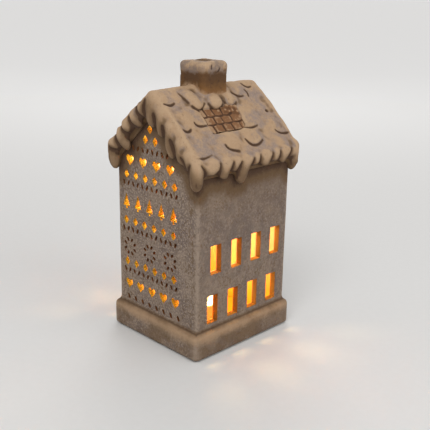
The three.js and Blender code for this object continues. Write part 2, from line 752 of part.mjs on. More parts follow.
function eaveIcicles() {
  const top = slope(SNOW_APEX, RAIL_X);
  const edge = slope(SNOW_APEX, SNOW_EDGE_X);
  const section = outline([
    [RAIL_X, edge - EAVE_RAIL_H],
    [SNOW_EDGE_X - EAVE_ROUND, edge - EAVE_RAIL_H],
    [SNOW_EDGE_X, edge - EAVE_RAIL_H + EAVE_ROUND],
    [SNOW_EDGE_X, edge - EAVE_ROUND],
    [SNOW_EDGE_X - EAVE_ROUND, edge + EAVE_ROUND * (TAN - EAVE_BULGE)],
    [RAIL_X, top],
  ]);
  const kept = eaveFingers.filter(({ y, r }) => Math.abs(y) * SLAB_HALF_L + r * FINGER_R < SLAB_HALF_L);
  const hanging = kept.map((entry) => eaveFinger(entry, edge));
  const row = joined(along(section, -SLAB_HALF_L, SLAB_HALF_L), ...hanging);
  const far = 2 * WALL_L;
  return row.intersect(solid(box([RAIL_X, -SLAB_HALF_L, 0], [far, SLAB_HALF_L, 2 * far])));
}

// Chimney

function chimneyStack() {
  const reach = STACK_W;
  const saddle = outline([
    [-reach, slope(SNOW_UNDER_APEX, reach)],
    [-reach, slope(SNOW_UNDER_APEX, reach) - reach],
    [reach, slope(SNOW_UNDER_APEX, reach) - reach],
    [reach, slope(SNOW_UNDER_APEX, reach)],
    [0, SNOW_UNDER_APEX],
  ]);
  const foot = slope(SNOW_UNDER_APEX, STACK_W / 2) - OVERCUT;
  const stack = solid(stackSpace(0, foot, STACK_TOP));
  const flue = flueCutter(foot - OVERCUT, STACK_TOP + OVERCUT);
  return cut(stack, along(saddle, -reach, reach), flue);
}

function chimneyCap() {
  const low = STACK_TOP + CLAY_SEAM;
  const width = STACK_W + 2 * CAP_OUT;
  const plan = roundedSquare(width, width, STACK_CORNER_R + CAP_OUT);
  const pillow = new THREE.ExtrudeGeometry(plan, {
    depth: CAP_T - 2 * CAP_ROUND,
    bevelThickness: CAP_ROUND,
    bevelSize: CAP_ROUND,
    bevelOffset: -CAP_ROUND,
    bevelSegments: 2,
    curveSegments: 3,
  }).translate(0, 0, low + CAP_ROUND);
  const lobes = [];
  for (let lobe = 0; lobe < 8; lobe += 1) {
    const side = Math.floor(lobe / 2);
    const across = (lobe % 2 ? 1 : -1) * (STACK_W / 2 - CAP_LOBE_R);
    const drop = CAP_LOBE_DROP + (lobe % 2 ? CAP_ROUND / 2 : 0);
    const hanging = finger(CAP_LOBE_R, drop, 2 * (CAP_OUT + CLAY_SEAM));
    hanging.translate(across, -STACK_W / 2 - CLAY_SEAM, low + CAP_ROUND).rotateZ((side * Math.PI) / 2);
    lobes.push(hanging);
  }
  const top = low + CAP_T;
  const stack = stackSpace(CLAY_SEAM, 0, low);
  return cut(joined(pillow, ...lobes), stack, flueCutter(low - OVERCUT, top + OVERCUT));
}

function buildRoof() {
  const roof = new THREE.Group();
  const half = new THREE.Group();
  half.rotation.z = Math.PI;
  const slab = roofSlab();
  const blanket = snowBlanket();
  const eave = eaveIcicles();
  const bare = tiles();
  const rakeRight = rakeIcicles(rightRakeFingers, 1);
  const rakeLeft = rakeIcicles(leftRakeFingers, -1);
  const sides = [[roof, 'right', 'front', 'right', 'left'], [half, 'left', 'rear', 'left', 'right']];
  for (const [group, side, end, first, second] of sides) {
    group.add(piece(`roof_slab_${side}`, slab, 'inside'));
    group.add(piece(`snow_blanket_${side}`, blanket, 'snow'));
    group.add(piece(`eave_icicles_${side}`, eave, 'snow'));
    group.add(piece(`rake_icicles_${end}_${first}`, rakeRight, 'snow'));
    group.add(piece(`rake_icicles_${end}_${second}`, rakeLeft, 'snow'));
    const patch = piece(`roof_tiles_${side}`, bare, 'tile');
    patch.rotation.y = PITCH;
    patch.position.z = SNOW_APEX;
    group.add(patch);
  }
  roof.add(piece('chimney_stack', chimneyStack(), 'stack'));
  roof.add(piece('chimney_snow_cap', chimneyCap(), 'snow'));
  roof.add(half);
  return roof;
}

// Tealight, in its own frame with its rim on the floor

const plateLow = SCREW_HEAD_T + PLASTIC_FIT; // above the rim that the tealight stands on
const plateTop = plateLow + CAP_PLATE_T;
const cellLow = plateTop + PLASTIC_FIT;
const cellTop = cellLow + CELL_T;
const doorR = CELL_D / 2 + DOOR_MARGIN;
const screwX = doorR + DOOR_EAR_R / 2;
const topUnder = TEALIGHT_H - TEALIGHT_TOP_DIP - TEALIGHT_WALL;
const flangeLow = topUnder - PLASTIC_FIT - LENS_FLANGE_T;
const ledFlangeLow = flangeLow - PLASTIC_FIT - LED_FLANGE_T;

function tealightHousing() {
  const outer = TEALIGHT_D / 2;
  const inner = outer - TEALIGHT_WALL;
  const hole = LENS_D / 2 + PLASTIC_FIT;
  const dish = topUnder + TEALIGHT_WALL;
  return solid(turned([
    [inner, 0],
    [outer, 0],
    [outer, TEALIGHT_H - TEALIGHT_WALL / 2],
    [outer - TEALIGHT_WALL / 2, TEALIGHT_H],
    [inner, TEALIGHT_H],
    [inner - TEALIGHT_TOP_DIP, dish],
    [hole, dish],
    [hole, topUnder],
    [inner, topUnder],
    [inner, 0],
  ]));
}

// Outline of the flame above its foot: shares of the belly's radius and of the height
const flameLine = [[1, 0.22], [0.9, 0.42], [0.62, 0.65], [0.28, 0.87]];

function flameLens() {
  const foot = LENS_D / 2;
  const belly = LENS_BELLY_D / 2;
  const bore = LED_FLANGE_D / 2;
  const base = topUnder + TEALIGHT_WALL;
  const tip = base + LENS_H;
  const boreTop = ledFlangeLow + LED_FLANGE_T + LED_H + PLASTIC_FIT;
  return solid(turned([
    [bore, flangeLow],
    [LENS_FLANGE_D / 2, flangeLow],
    [LENS_FLANGE_D / 2, flangeLow + LENS_FLANGE_T],
    [foot, flangeLow + LENS_FLANGE_T],
    [foot, base],
    ...flameLine.map(([wide, high]) => [belly * wide, base + LENS_H * high]),
    [0, tip],
    [0, boreTop],
    [bore * DOME, boreTop - bore * (1 - DOME)],
    [bore, boreTop - bore],
    [bore, flangeLow],
  ], 24));
}

function led() {
  const radius = LED_D / 2;
  const flangeTop = ledFlangeLow + LED_FLANGE_T;
  const shoulder = flangeTop + LED_H - radius;
  const lamp = turned([
    [0, ledFlangeLow],
    [LED_FLANGE_D / 2, ledFlangeLow],
    [LED_FLANGE_D / 2, flangeTop],
    [radius, flangeTop],
    [radius, shoulder],
    [radius * DOME, shoulder + radius * DOME],
    [0, shoulder + radius],
  ], 16);
  const half = LED_PIN_W / 2;
  const pin = (y, low) => box([-half, y - half, low], [half, y + half, ledFlangeLow + LED_FLANGE_T / 2]);
  const contactTop = cellTop + PLASTIC_FIT + CONTACT_T;
  const minus = pin(-LED_PIN_PITCH / 2, contactTop + PLASTIC_FIT);
  const plus = pin(LED_PIN_PITCH / 2, contactTop + CONTACT_RISE + PLASTIC_FIT);
  return joined(lamp, minus, plus);
}

function negativeContact() {
  const low = cellTop + PLASTIC_FIT;
  const half = CONTACT_W / 2;
  const end = -LED_PIN_PITCH / 2 + LED_PIN_W;
  return solid(box([-half, CELL_SHIFT - half, low], [half, end, low + CONTACT_T]));
}

// A strip up the rim of the cell with an arm in to the lamp's plus pin
function positiveContact() {
  const face = CELL_SHIFT + CELL_D / 2 + PLASTIC_FIT;
  const armTop = cellTop + PLASTIC_FIT + CONTACT_T + CONTACT_RISE;
  const half = CONTACT_W / 2;
  const strip = box([-half, face, cellLow], [half, face + CONTACT_T, armTop]);
  const armLow = [-half, LED_PIN_PITCH / 2 - LED_PIN_W, armTop - CONTACT_T];
  const arm = box(armLow, [half, face + CONTACT_T, armTop]);
  return joined(strip, arm);
}

// Plan of the battery door, round the cell, with an ear for its screw
function doorPlan(grow) {
  const radius = doorR + grow;
  const ear = DOOR_EAR_R + grow;
  const plan = new THREE.Shape();
  const spread = Math.asin(ear / radius);
  plan.absarc(0, CELL_SHIFT, radius, spread, 2 * Math.PI - spread);
  plan.absarc(screwX, CELL_SHIFT, ear, -Math.PI / 2, Math.PI / 2);
  return plan;
}

// A plate with the door's opening, the switch's slot and a roofed boss for the door's screw
function bottomCap() {
  const screwHole = SCREW_D + 2 * PLASTIC_FIT;
  const bossTop = plateLow + SCREW_L + BOSS_WALL;
  const roofD = 2 * (DOOR_EAR_R + PLASTIC_FIT + BOSS_WALL);
  const plate = disc(TEALIGHT_D - 2 * TEALIGHT_WALL - 2 * PLASTIC_FIT, plateLow, plateTop);
  const bossRoof = disc(roofD, plateTop, plateTop + BOSS_WALL, 16);
  const boss = disc(screwHole + 2 * BOSS_WALL, plateTop + BOSS_WALL / 2, bossTop, 12);
  bossRoof.translate(screwX, CELL_SHIFT, 0);
  boss.translate(screwX, CELL_SHIFT, 0);
  const opening = raised(doorPlan(PLASTIC_FIT), plateLow - OVERCUT, plateTop + OVERCUT, DOOR_STEPS);
  const carrier = cut(solid(plate), opening).add(joined(bossRoof, boss));
  const hole = disc(screwHole, plateTop - OVERCUT, plateLow + SCREW_L + PLASTIC_FIT, 12);
  const cellSpace = disc(CELL_D + 2 * PLASTIC_FIT, plateTop - OVERCUT, bossTop + OVERCUT);
  const slotHalf = (SWITCH_STEM_L + SWITCH_TRAVEL) / 2 + PLASTIC_FIT;
  const slotSide = SWITCH_W / 2 + PLASTIC_FIT;
  const low = [-slotHalf, SWITCH_Y - slotSide, plateLow - OVERCUT];
  const high = [slotHalf, SWITCH_Y + slotSide, plateTop + OVERCUT];
  hole.translate(screwX, CELL_SHIFT, 0);
  cellSpace.translate(0, CELL_SHIFT, 0);
  return cut(carrier, hole, cellSpace, box(low, high));
}

function batteryDoor() {
  const plate = solid(raised(doorPlan(0), plateLow, plateTop - PLASTIC_FIT, DOOR_STEPS));
  const hole = disc(SCREW_D + 2 * PLASTIC_FIT, plateLow - OVERCUT, plateTop, 12);
  return cut(plate, hole.translate(screwX, CELL_SHIFT, 0));
}

function doorScrew() {
  const head = disc(SCREW_HEAD_D, plateLow - SCREW_HEAD_T, plateLow, 16);
  return joined(head, disc(SCREW_D, plateLow - SCREW_HEAD_T, plateLow + SCREW_L, 12));
}

function switchKnob() {
  const half = SWITCH_STEM_L / 2;
  const side = SWITCH_W / 2;
  const middle = -SWITCH_TRAVEL / 2;
  const flangeBase = plateTop + PLASTIC_FIT;
  const stemLow = [middle - half, SWITCH_Y - side, PLASTIC_FIT];
  const stem = box(stemLow, [middle + half, SWITCH_Y + side, flangeBase]);
  const reach = half + SWITCH_TRAVEL + SWITCH_FLANGE;
  const flangeLowCorner = [middle - reach, SWITCH_Y - side - SWITCH_FLANGE, flangeBase];
  const flangeTop = flangeBase + SWITCH_FLANGE_T;
  const flange = box(flangeLowCorner, [middle + reach, SWITCH_Y + side + SWITCH_FLANGE, flangeTop]);
  return joined(stem, flange);
}

function buildTealight() {
  const tealight = new THREE.Group();
  tealight.position.z = FLOOR_TOP;
  const screw = piece('door_screw', doorScrew(), 'steel');
  screw.position.set(screwX, CELL_SHIFT, 0);
  const cell = piece('coin_cell', solid(disc(CELL_D, cellLow, cellTop, 24)), 'steel');
  cell.position.y = CELL_SHIFT;
  tealight.add(piece('tealight_housing', tealightHousing(), 'plastic'));
  tealight.add(piece('flame_lens', flameLens(), 'flame'));
  tealight.add(piece('led', led(), 'clear'));
  tealight.add(cell);
  tealight.add(piece('negative_contact', negativeContact(), 'steel'));
  tealight.add(piece('positive_contact', positiveContact(), 'steel'));
  tealight.add(piece('bottom_cap', bottomCap(), 'plastic'));
  tealight.add(piece('battery_door', batteryDoor(), 'plastic'));
  tealight.add(screw);
  tealight.add(piece('switch_knob', switchKnob(), 'plastic'));
  return tealight;
}

const christmasHouse = new THREE.Group();
christmasHouse.add(buildHouse(), buildRoof(), buildTealight());

export default christmasHouse;
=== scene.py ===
"""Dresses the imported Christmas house: engobed clay walls, a snow roof, bare tiles and a lit tealight."""

import json
import math
import random

import bmesh
import bpy
import numpy as np
from bpy.props import FloatProperty, FloatVectorProperty, IntProperty, PointerProperty
from mathutils import Matrix, Vector, noise
from mathutils.bvhtree import BVHTree

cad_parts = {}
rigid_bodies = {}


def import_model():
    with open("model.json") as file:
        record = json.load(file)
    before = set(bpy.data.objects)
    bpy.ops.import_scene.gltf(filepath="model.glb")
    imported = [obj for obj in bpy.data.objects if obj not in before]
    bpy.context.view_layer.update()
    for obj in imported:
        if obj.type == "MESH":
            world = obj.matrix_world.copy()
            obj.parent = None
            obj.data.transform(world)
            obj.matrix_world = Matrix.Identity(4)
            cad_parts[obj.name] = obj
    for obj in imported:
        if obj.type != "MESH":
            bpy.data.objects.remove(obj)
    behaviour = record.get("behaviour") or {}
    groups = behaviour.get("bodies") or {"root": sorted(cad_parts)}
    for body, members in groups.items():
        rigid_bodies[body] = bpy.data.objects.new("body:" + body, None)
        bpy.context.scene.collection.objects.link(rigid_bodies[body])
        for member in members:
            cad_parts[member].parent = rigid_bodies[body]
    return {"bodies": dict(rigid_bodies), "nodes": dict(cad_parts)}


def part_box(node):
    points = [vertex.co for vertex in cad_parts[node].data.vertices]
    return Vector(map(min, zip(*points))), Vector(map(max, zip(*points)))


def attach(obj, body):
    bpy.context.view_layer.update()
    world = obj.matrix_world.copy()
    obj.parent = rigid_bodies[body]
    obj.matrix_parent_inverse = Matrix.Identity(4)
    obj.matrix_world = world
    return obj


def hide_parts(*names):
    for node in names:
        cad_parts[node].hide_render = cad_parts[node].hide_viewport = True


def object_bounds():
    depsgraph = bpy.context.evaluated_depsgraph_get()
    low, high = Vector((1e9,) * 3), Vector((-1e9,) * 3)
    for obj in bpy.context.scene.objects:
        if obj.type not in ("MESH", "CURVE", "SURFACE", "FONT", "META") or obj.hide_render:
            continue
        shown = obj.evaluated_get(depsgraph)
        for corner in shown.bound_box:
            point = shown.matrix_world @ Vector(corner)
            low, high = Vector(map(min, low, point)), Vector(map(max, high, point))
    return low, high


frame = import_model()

bl_info = {
    "name": "Ceramic Christmas house",
    "version": (1, 0, 0),
    "blender": (4, 5, 0),
    "location": "View3D > Sidebar > Clay house",
    "description": "Builds the clay walls, the snow roof and the tealight of a Christmas house",
    "category": "Object",
}

MM = 0.001
CAD_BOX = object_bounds()
CAD_END = CAD_BOX[1][1]
NODES = frame["nodes"]

# Distance within which points are joined
JOIN = 0.001 * MM

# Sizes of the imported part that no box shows
RIDGE_ROUND = 6 * MM
SLAB_T = 7 * MM
FLUE_R = 6 * MM

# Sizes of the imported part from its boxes
WALL_LOW, WALL_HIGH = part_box("front_gable_wall")
SIDE_LOW, SIDE_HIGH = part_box("right_window_wall")
HALF_W = WALL_HIGH.x
HALF_L = -WALL_LOW.y
FOOT_Z = WALL_LOW.z
GABLE_TOP = WALL_HIGH.z
WALL_T = SIDE_HIGH.x - SIDE_LOW.x
TAN = (GABLE_TOP - SIDE_HIGH.z) / (HALF_W - WALL_T)
PITCH = math.atan(TAN)
COS = math.cos(PITCH)
SIN = math.sin(PITCH)
EAVES_Z = GABLE_TOP - HALF_W * TAN
FLOOR_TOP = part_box("floor_slab")[1].z
PLINTH_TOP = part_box("plinth_front")[1].z
PLINTH_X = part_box("plinth_right")[1].x
PLINTH_Y = -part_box("plinth_front")[0].y
RIDGE_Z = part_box("snow_blanket_right")[1].z
SNOW_APEX = RIDGE_Z + RIDGE_ROUND * (1 / COS - 1)
SNOW_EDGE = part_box("eave_icicles_right")[1].x
# Where the snow of the gable ends begins
SNOW_END = -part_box("rake_icicles_front_right")[1].y
SLAB_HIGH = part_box("roof_slab_right")[1]
SLAB_UNDER = SLAB_HIGH.z - SLAB_T / COS
TILES_LOW, TILES_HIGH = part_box("roof_tiles_right")
STACK_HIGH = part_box("chimney_stack")[1]
CAP_LOW, CAP_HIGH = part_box("chimney_snow_cap")

ENDS = ("front", "rear")
SIDES = ("right", "left")
CORNERS = [f"{end}_{side}" for end in ENDS for side in SIDES]
WALL_NODES = (
    "floor_slab",
    *(f"{end}_gable_wall" for end in ENDS),
    *(f"{side}_window_wall" for side in SIDES),
    *(f"plinth_{place}" for place in ENDS + SIDES),
)
SLAB_NODES = [f"roof_slab_{side}" for side in SIDES]
SNOW_NODES = (
    *(f"snow_blanket_{side}" for side in SIDES),
    *(f"eave_icicles_{side}" for side in SIDES),
    *(f"rake_icicles_{corner}" for corner in CORNERS),
)


# Settings


def colour(name, description, default):
    """A colour that a user can change."""
    return FloatVectorProperty(
        name=name, description=description, subtype="COLOR", size=3, min=0, max=1, default=default
    )


def length(name, description, default):
    """A length in metres that a user can change."""
    return FloatProperty(name=name, description=description, unit="LENGTH", default=default)


class HouseForm(bpy.types.PropertyGroup):
    """Sizes of the clay and the snow"""

    wall_grid: length("Wall grid", "Grid on which the walls are softened", 1.1 * MM)
    snow_grid: length("Snow grid", "Grid on which the snow is softened", 0.8 * MM)
    clay_wave: length("Clay wave", "Height of the waves of the hand-rolled walls", 0.2 * MM)
    snow_wave: length("Snow wave", "Height of the waves of the hand-pressed snow", 0.6 * MM)
    mouth: length("Mouth", "Chamfer round each cut-out", 0.15 * MM)
    groove: length("Groove", "Depth of the grooves under the clumps of snow", 1.2 * MM)
    cleft: length("Cleft", "Depth of the clefts between the lobes of snow", 1.8 * MM)
    fill: length("Fill", "Half width of the clefts that snow and clay fill up", 1.8 * MM)
    # The brown under the snow is oxide and painted shade
    wash_shade_reach: length("Wash reach", "How far the brown wash runs down the walls from the snow", 18 * MM)
    wall_rounds: IntProperty(name="Wall rounds", description="Smoothing rounds of the walls", default=3)
    snow_rounds: IntProperty(name="Snow rounds", description="Smoothing rounds of the snow", default=8)


class HouseLook(bpy.types.PropertyGroup):
    """Colours of the clays, the felt and the tealight"""

    engobe: colour("Engobe", "Grey slip on the walls", (0.232, 0.172, 0.128))
    engobe_dark: colour("Dark engobe", "Thin places of the grey slip", (0.172, 0.128, 0.108))
    engobe_pale: colour("Pale engobe", "Rubbed corners of the walls", (0.350, 0.270, 0.208))
    # Also painted shade: under the snow on the walls, in the plinth's cove, behind and under the lobes,
    # round the roof's underside and in the flue
    brown_wash_and_shade: colour("Brown wash", "Oxide left in the hollows", (0.132, 0.073, 0.030))
    # Also the deepest painted shade, right beside the snow and in the cove
    deep_wash_and_shade: colour("Deep wash", "Oxide in grooves and pits", (0.062, 0.028, 0.013))
    raw_clay: colour("Raw clay", "Bare fired clay", (0.800, 0.500, 0.340))
    # Also painted shade: the mouths of the cut-outs, darker than the clay inside; and a darker tone inside
    amber_and_reveal_shade: colour("Amber", "Bare clay in the mouths of the cut-outs", (0.560, 0.335, 0.014))
    # Painted shade on the bare clay round the windows
    window_reveal_shade: colour("Jamb", "Bare clay round the windows", (0.240, 0.105, 0.004))
    # Painted shade in the small holes, and dark flecks in the mouths of the cut-outs
    dark_fleck_and_hole_shade: colour("Burnt clay", "Bare clay in the small holes", (0.140, 0.048, 0.010))
    snow: colour("Snow", "Sandy slip on the roof", (0.440, 0.285, 0.165))
    snow_pale: colour("Pale snow", "Rubbed tops of the snow", (0.505, 0.350, 0.220))
    snow_grey: colour("Grey snow", "Thin places of the sandy slip", (0.300, 0.222, 0.182))
    tile: colour("Tile", "Bare roof tiles", (0.275, 0.125, 0.050))
    stack: colour("Stack", "Chimney stack", (0.165, 0.076, 0.022))
    felt: colour("Felt", "Pads under the corners", (0.045, 0.040, 0.036))
    plastic: colour("Plastic", "Shell of the tealight", (0.800, 0.770, 0.690))
    flame: colour("Flame", "Plastic flame", (1.000, 0.720, 0.330))
    glow: colour("Glow", "Light of the flame", (1.000, 0.740, 0.330))
    glow_power: FloatProperty(
        name="Glow power", description="Power of the flame's light", unit="POWER", default=0.24
    )


# Meshes


def copies(*names):
    """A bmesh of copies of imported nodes, with their loose triangles joined."""
    bm = bmesh.new()
    for name in names:
        bm.from_mesh(NODES[name].data)
    bmesh.ops.remove_doubles(bm, verts=bm.verts, dist=JOIN)
    bmesh.ops.recalc_face_normals(bm, faces=bm.faces)
    return bm


def made(name, bm):
    """An object of that bmesh, at the origin."""
    mesh = bpy.data.meshes.new(name)
    bm.to_mesh(mesh)
    bm.free()
    obj = bpy.data.objects.new(name, mesh)
    bpy.context.scene.collection.objects.link(obj)
    return obj


def prism(outline, start, end):
    """A closed prism of an outline in X and Z that runs along Y."""
    bm = bmesh.new()
    face = bm.faces.new([bm.verts.new((x, start, z)) for x, z in outline])
    run = bmesh.ops.extrude_face_region(bm, geom=[face])
    moved = [item for item in run["geom"] if isinstance(item, bmesh.types.BMVert)]
    bmesh.ops.translate(bm, verts=moved, vec=(0, end - start, 0))
    bmesh.ops.recalc_face_normals(bm, faces=bm.faces)
    return bm


def block(low, high):
    """A closed box between two corners."""
    bm = bmesh.new()
    size = Vector(high) - Vector(low)
    middle = (Vector(high) + Vector(low)) / 2
    place = Matrix.Translation(middle) @ Matrix.Diagonal((*size, 1))
    bmesh.ops.create_cube(bm, size=1, matrix=place)
    return bm


def rounded(bm, edges, radius, segments=4):
    """Rounds some edges of a bmesh by a radius."""
    bmesh.ops.bevel(
        bm, geom=edges, offset=radius, offset_type="OFFSET", affect="EDGES", segments=segments,
        profile=0.5, material=-1,
    )


def rounded_block(low, high, upright, top):
    """A box with its upright edges rounded by one radius and the edges of its top by another."""
    bm = block(low, high)
    rounded(bm, [e for e in bm.edges if abs(e.verts[0].co.z - e.verts[1].co.z) > MM], upright)
    rounded(bm, [e for e in bm.edges if min(v.co.z for v in e.verts) > high[2] - 0.01 * MM], top)
    return bm


def drum(middle, low_radius, high_radius, height, segments=32):
    """A closed round block about a middle."""
    bm = bmesh.new()
    bmesh.ops.create_cone(
        bm, cap_ends=True, segments=segments, radius1=low_radius, radius2=high_radius, depth=height,
        matrix=Matrix.Translation(middle),
    )
    return bm


def added(bm, other):
    """Puts another bmesh into the first one."""
    spare = bpy.data.meshes.new("spare")
    other.to_mesh(spare)
    other.free()
    bm.from_mesh(spare)
    bpy.data.meshes.remove(spare)


def settled(obj):
    """The object with its modifiers applied."""
    graph = bpy.context.evaluated_depsgraph_get()
    mesh = bpy.data.meshes.new_from_object(obj.evaluated_get(graph))
    old = obj.data
    obj.modifiers.clear()
    obj.data = mesh
    bpy.data.meshes.remove(old)
    return obj


def softened(obj, grid, rounds):
    """The object fused on a voxel grid and smoothed."""
    remesh = obj.modifiers.new("fuse", "REMESH")
    remesh.mode = "VOXEL"
    remesh.voxel_size = grid
    smooth = obj.modifiers.new("soften", "SMOOTH")
    smooth.factor = 0.5
    smooth.iterations = rounds
    return settled(obj)


def thinned(obj, share):
    """The object with about that share of its faces."""
    obj.modifiers.new("thin", "DECIMATE").ratio = share
    return settled(obj)


def filled(obj, grid, reach, rounds):
    """The object with its narrow clefts filled: it is swollen, fused again and drawn back."""
    pushed(obj.data, reach)
    softened(obj, grid, rounds)
    pushed(obj.data, -reach)
    return obj


def cut(obj, cutter):
    """The object with a cutter taken out of it. Faces that the cutter leaves keep its material."""
    boolean = obj.modifiers.new("cut", "BOOLEAN")
    boolean.operation = "DIFFERENCE"
    boolean.solver = "EXACT"
    boolean.material_mode = "TRANSFER"
    boolean.object = cutter
    bpy.context.view_layer.update()
    settled(obj)
    spare = cutter.data
    bpy.data.objects.remove(cutter)
    bpy.data.meshes.remove(spare)
    if not obj.data.polygons:
        raise RuntimeError(f"{obj.name}: the cut left nothing")
    return obj


def vectors(items, name):
    """One vector of each item of a mesh, as rows of an array."""
    found = np.empty(len(items) * 3, np.float32)
    items.foreach_get(name, found)
    return found.reshape(-1, 3).astype(float)


def points(mesh):
    """Places of the mesh's points, in metres."""
    return vectors(mesh.vertices, "co")


def normals(mesh):
    """Directions in which the mesh's points face."""
    return vectors(mesh.vertex_normals, "vector")


def put_points(mesh, co):
    """Moves the mesh's points to new places."""
    mesh.vertices.foreach_set("co", co.astype(np.float32).ravel())
    mesh.update()


def pushed(mesh, amount):
    """Moves the points out along their normals, by one amount or by an amount for each."""
    put_points(mesh, points(mesh) + normals(mesh) * np.reshape(amount, (-1, 1)))


def limited(values):
    """The values held between 0 and 1."""
    return np.clip(values, 0, 1)


def waves(co, sizes, seed):
    """Smooth noise at each point: the sum of waves of a size and a height."""
    total = np.zeros(len(co))
    for size, height in sizes:
        shift = Vector((seed, 2.7 * seed, -1.3 * seed))
        total += [height * noise.noise(Vector(p) / size + shift) for p in co]
    return total


def waved(obj, sizes, seed):
    """The object pressed in and out by smooth noise."""
    pushed(obj.data, waves(points(obj.data), sizes, seed))
    return obj


def averaged(mesh, rounds, weight=1.0):
    """Places of the points after rounds of averaging with their neighbours, by a weight for each."""
    co = points(mesh)
    count = len(co)
    edges = np.empty(len(mesh.edges) * 2, np.int32)
    mesh.edges.foreach_get("vertices", edges)
    first, second = edges.reshape(-1, 2).T
    links = np.maximum(np.bincount(edges, minlength=count), 1)[:, None]
    for _ in range(rounds):
        total = np.empty_like(co)
        for axis in range(3):
            total[:, axis] = np.bincount(first, co[second, axis], count)
            total[:, axis] += np.bincount(second, co[first, axis], count)
        co += (total / links - co) * weight
    return co


def eased(mesh, weight, rounds):
    """Smooths the mesh where the weight says so."""
    put_points(mesh, averaged(mesh, rounds, 0.5 * weight[:, None]))


def hollows(mesh, rounds):
    """How deep each point lies below the average of its surroundings, in metres."""
    return ((averaged(mesh, rounds) - points(mesh)) * normals(mesh)).sum(1)


def painted(mesh, name, values):
    """Keeps a number for each point of the mesh, for its material."""
    attribute = mesh.attributes.new(name, "FLOAT", "POINT")
    attribute.data.foreach_set("value", values.astype(np.float32))


def kept_in_box(mesh):
    """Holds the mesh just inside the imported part's box."""
    margin = 0.05 * MM
    low = np.array(CAD_BOX[0]) + margin
    high = np.array(CAD_BOX[1]) - margin
    put_points(mesh, np.clip(points(mesh), low, high))


def shaded(obj, crease):
    """Smooth faces with sharp edges where they turn by more than the crease."""
    bm = bmesh.new()
    bm.from_mesh(obj.data)
    bmesh.ops.remove_doubles(bm, verts=bm.verts, dist=2 * JOIN)
    bmesh.ops.dissolve_degenerate(bm, edges=bm.edges, dist=2 * JOIN)
    bmesh.ops.triangulate(bm, faces=[f for f in bm.faces if len(f.verts) > 4])
    for face in bm.faces:
        face.smooth = True
    for edge in bm.edges:
        edge.smooth = edge.calc_face_angle(0) < crease
    bm.to_mesh(obj.data)
    bm.free()
    return obj


def placed(obj, body, slot, finish, *nodes):
    """Gives a piece its material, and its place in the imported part."""
    obj.data.materials.clear()
    obj.data.materials.append(finish)
    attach(obj, body)
    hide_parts(*nodes)
    return obj


# Materials


class Value:
    """A shader socket that holds a number. Arithmetic on it adds Math nodes."""

    def __init__(self, finish, socket):
        self.finish = finish
        self.socket = socket

    def maths(self, operation, *terms):
        inputs = dict(enumerate(terms))
        return self.finish.node("ShaderNodeMath", {"operation": operation}, inputs)

    def __add__(self, other):
        return self.maths("ADD", self, other)

    def __sub__(self, other):
        return self.maths("SUBTRACT", self, other)

    def __rsub__(self, other):
        return self.maths("SUBTRACT", other, self)

    def __mul__(self, other):
        return self.maths("MULTIPLY", self, other)

    def __pow__(self, other):
        return self.maths("POWER", self, other)

    def __abs__(self):
        return self.maths("ABSOLUTE", self)

    def least(self, other):
        return self.maths("MINIMUM", self, other)

    def most(self, other):
        return self.maths("MAXIMUM", self, other)

    __radd__ = __add__
    __rmul__ = __mul__


class Nodes:
    """The nodes of a material or of the world."""

    def __init__(self, tree):
        self.tree = tree

    def fill(self, socket, value):
        """Links a value to a socket, or sets the socket to a number or a colour."""
        if isinstance(value, Value):
            self.tree.links.new(value.socket, socket)
        elif socket.type == "RGBA":
            socket.default_value = (*value[:3], 1)
        else:
            socket.default_value = value

    def node(self, kind, settings, inputs, output=0):
        """A new node: its settings come first, then the values or links of its sockets."""
        made_node = self.tree.nodes.new(kind)
        for name, value in settings.items():
            setattr(made_node, name, value)
        for name, value in inputs.items():
            self.fill(made_node.inputs[name], value)
        return Value(self, made_node.outputs[output])

    def blend(self, share, first, second):
        """Two colours mixed by a share."""
        settings = {"data_type": "RGBA", "blend_type": "MIX", "clamp_factor": True}
        return self.node("ShaderNodeMix", settings, {0: share, 6: first, 7: second}, 2)


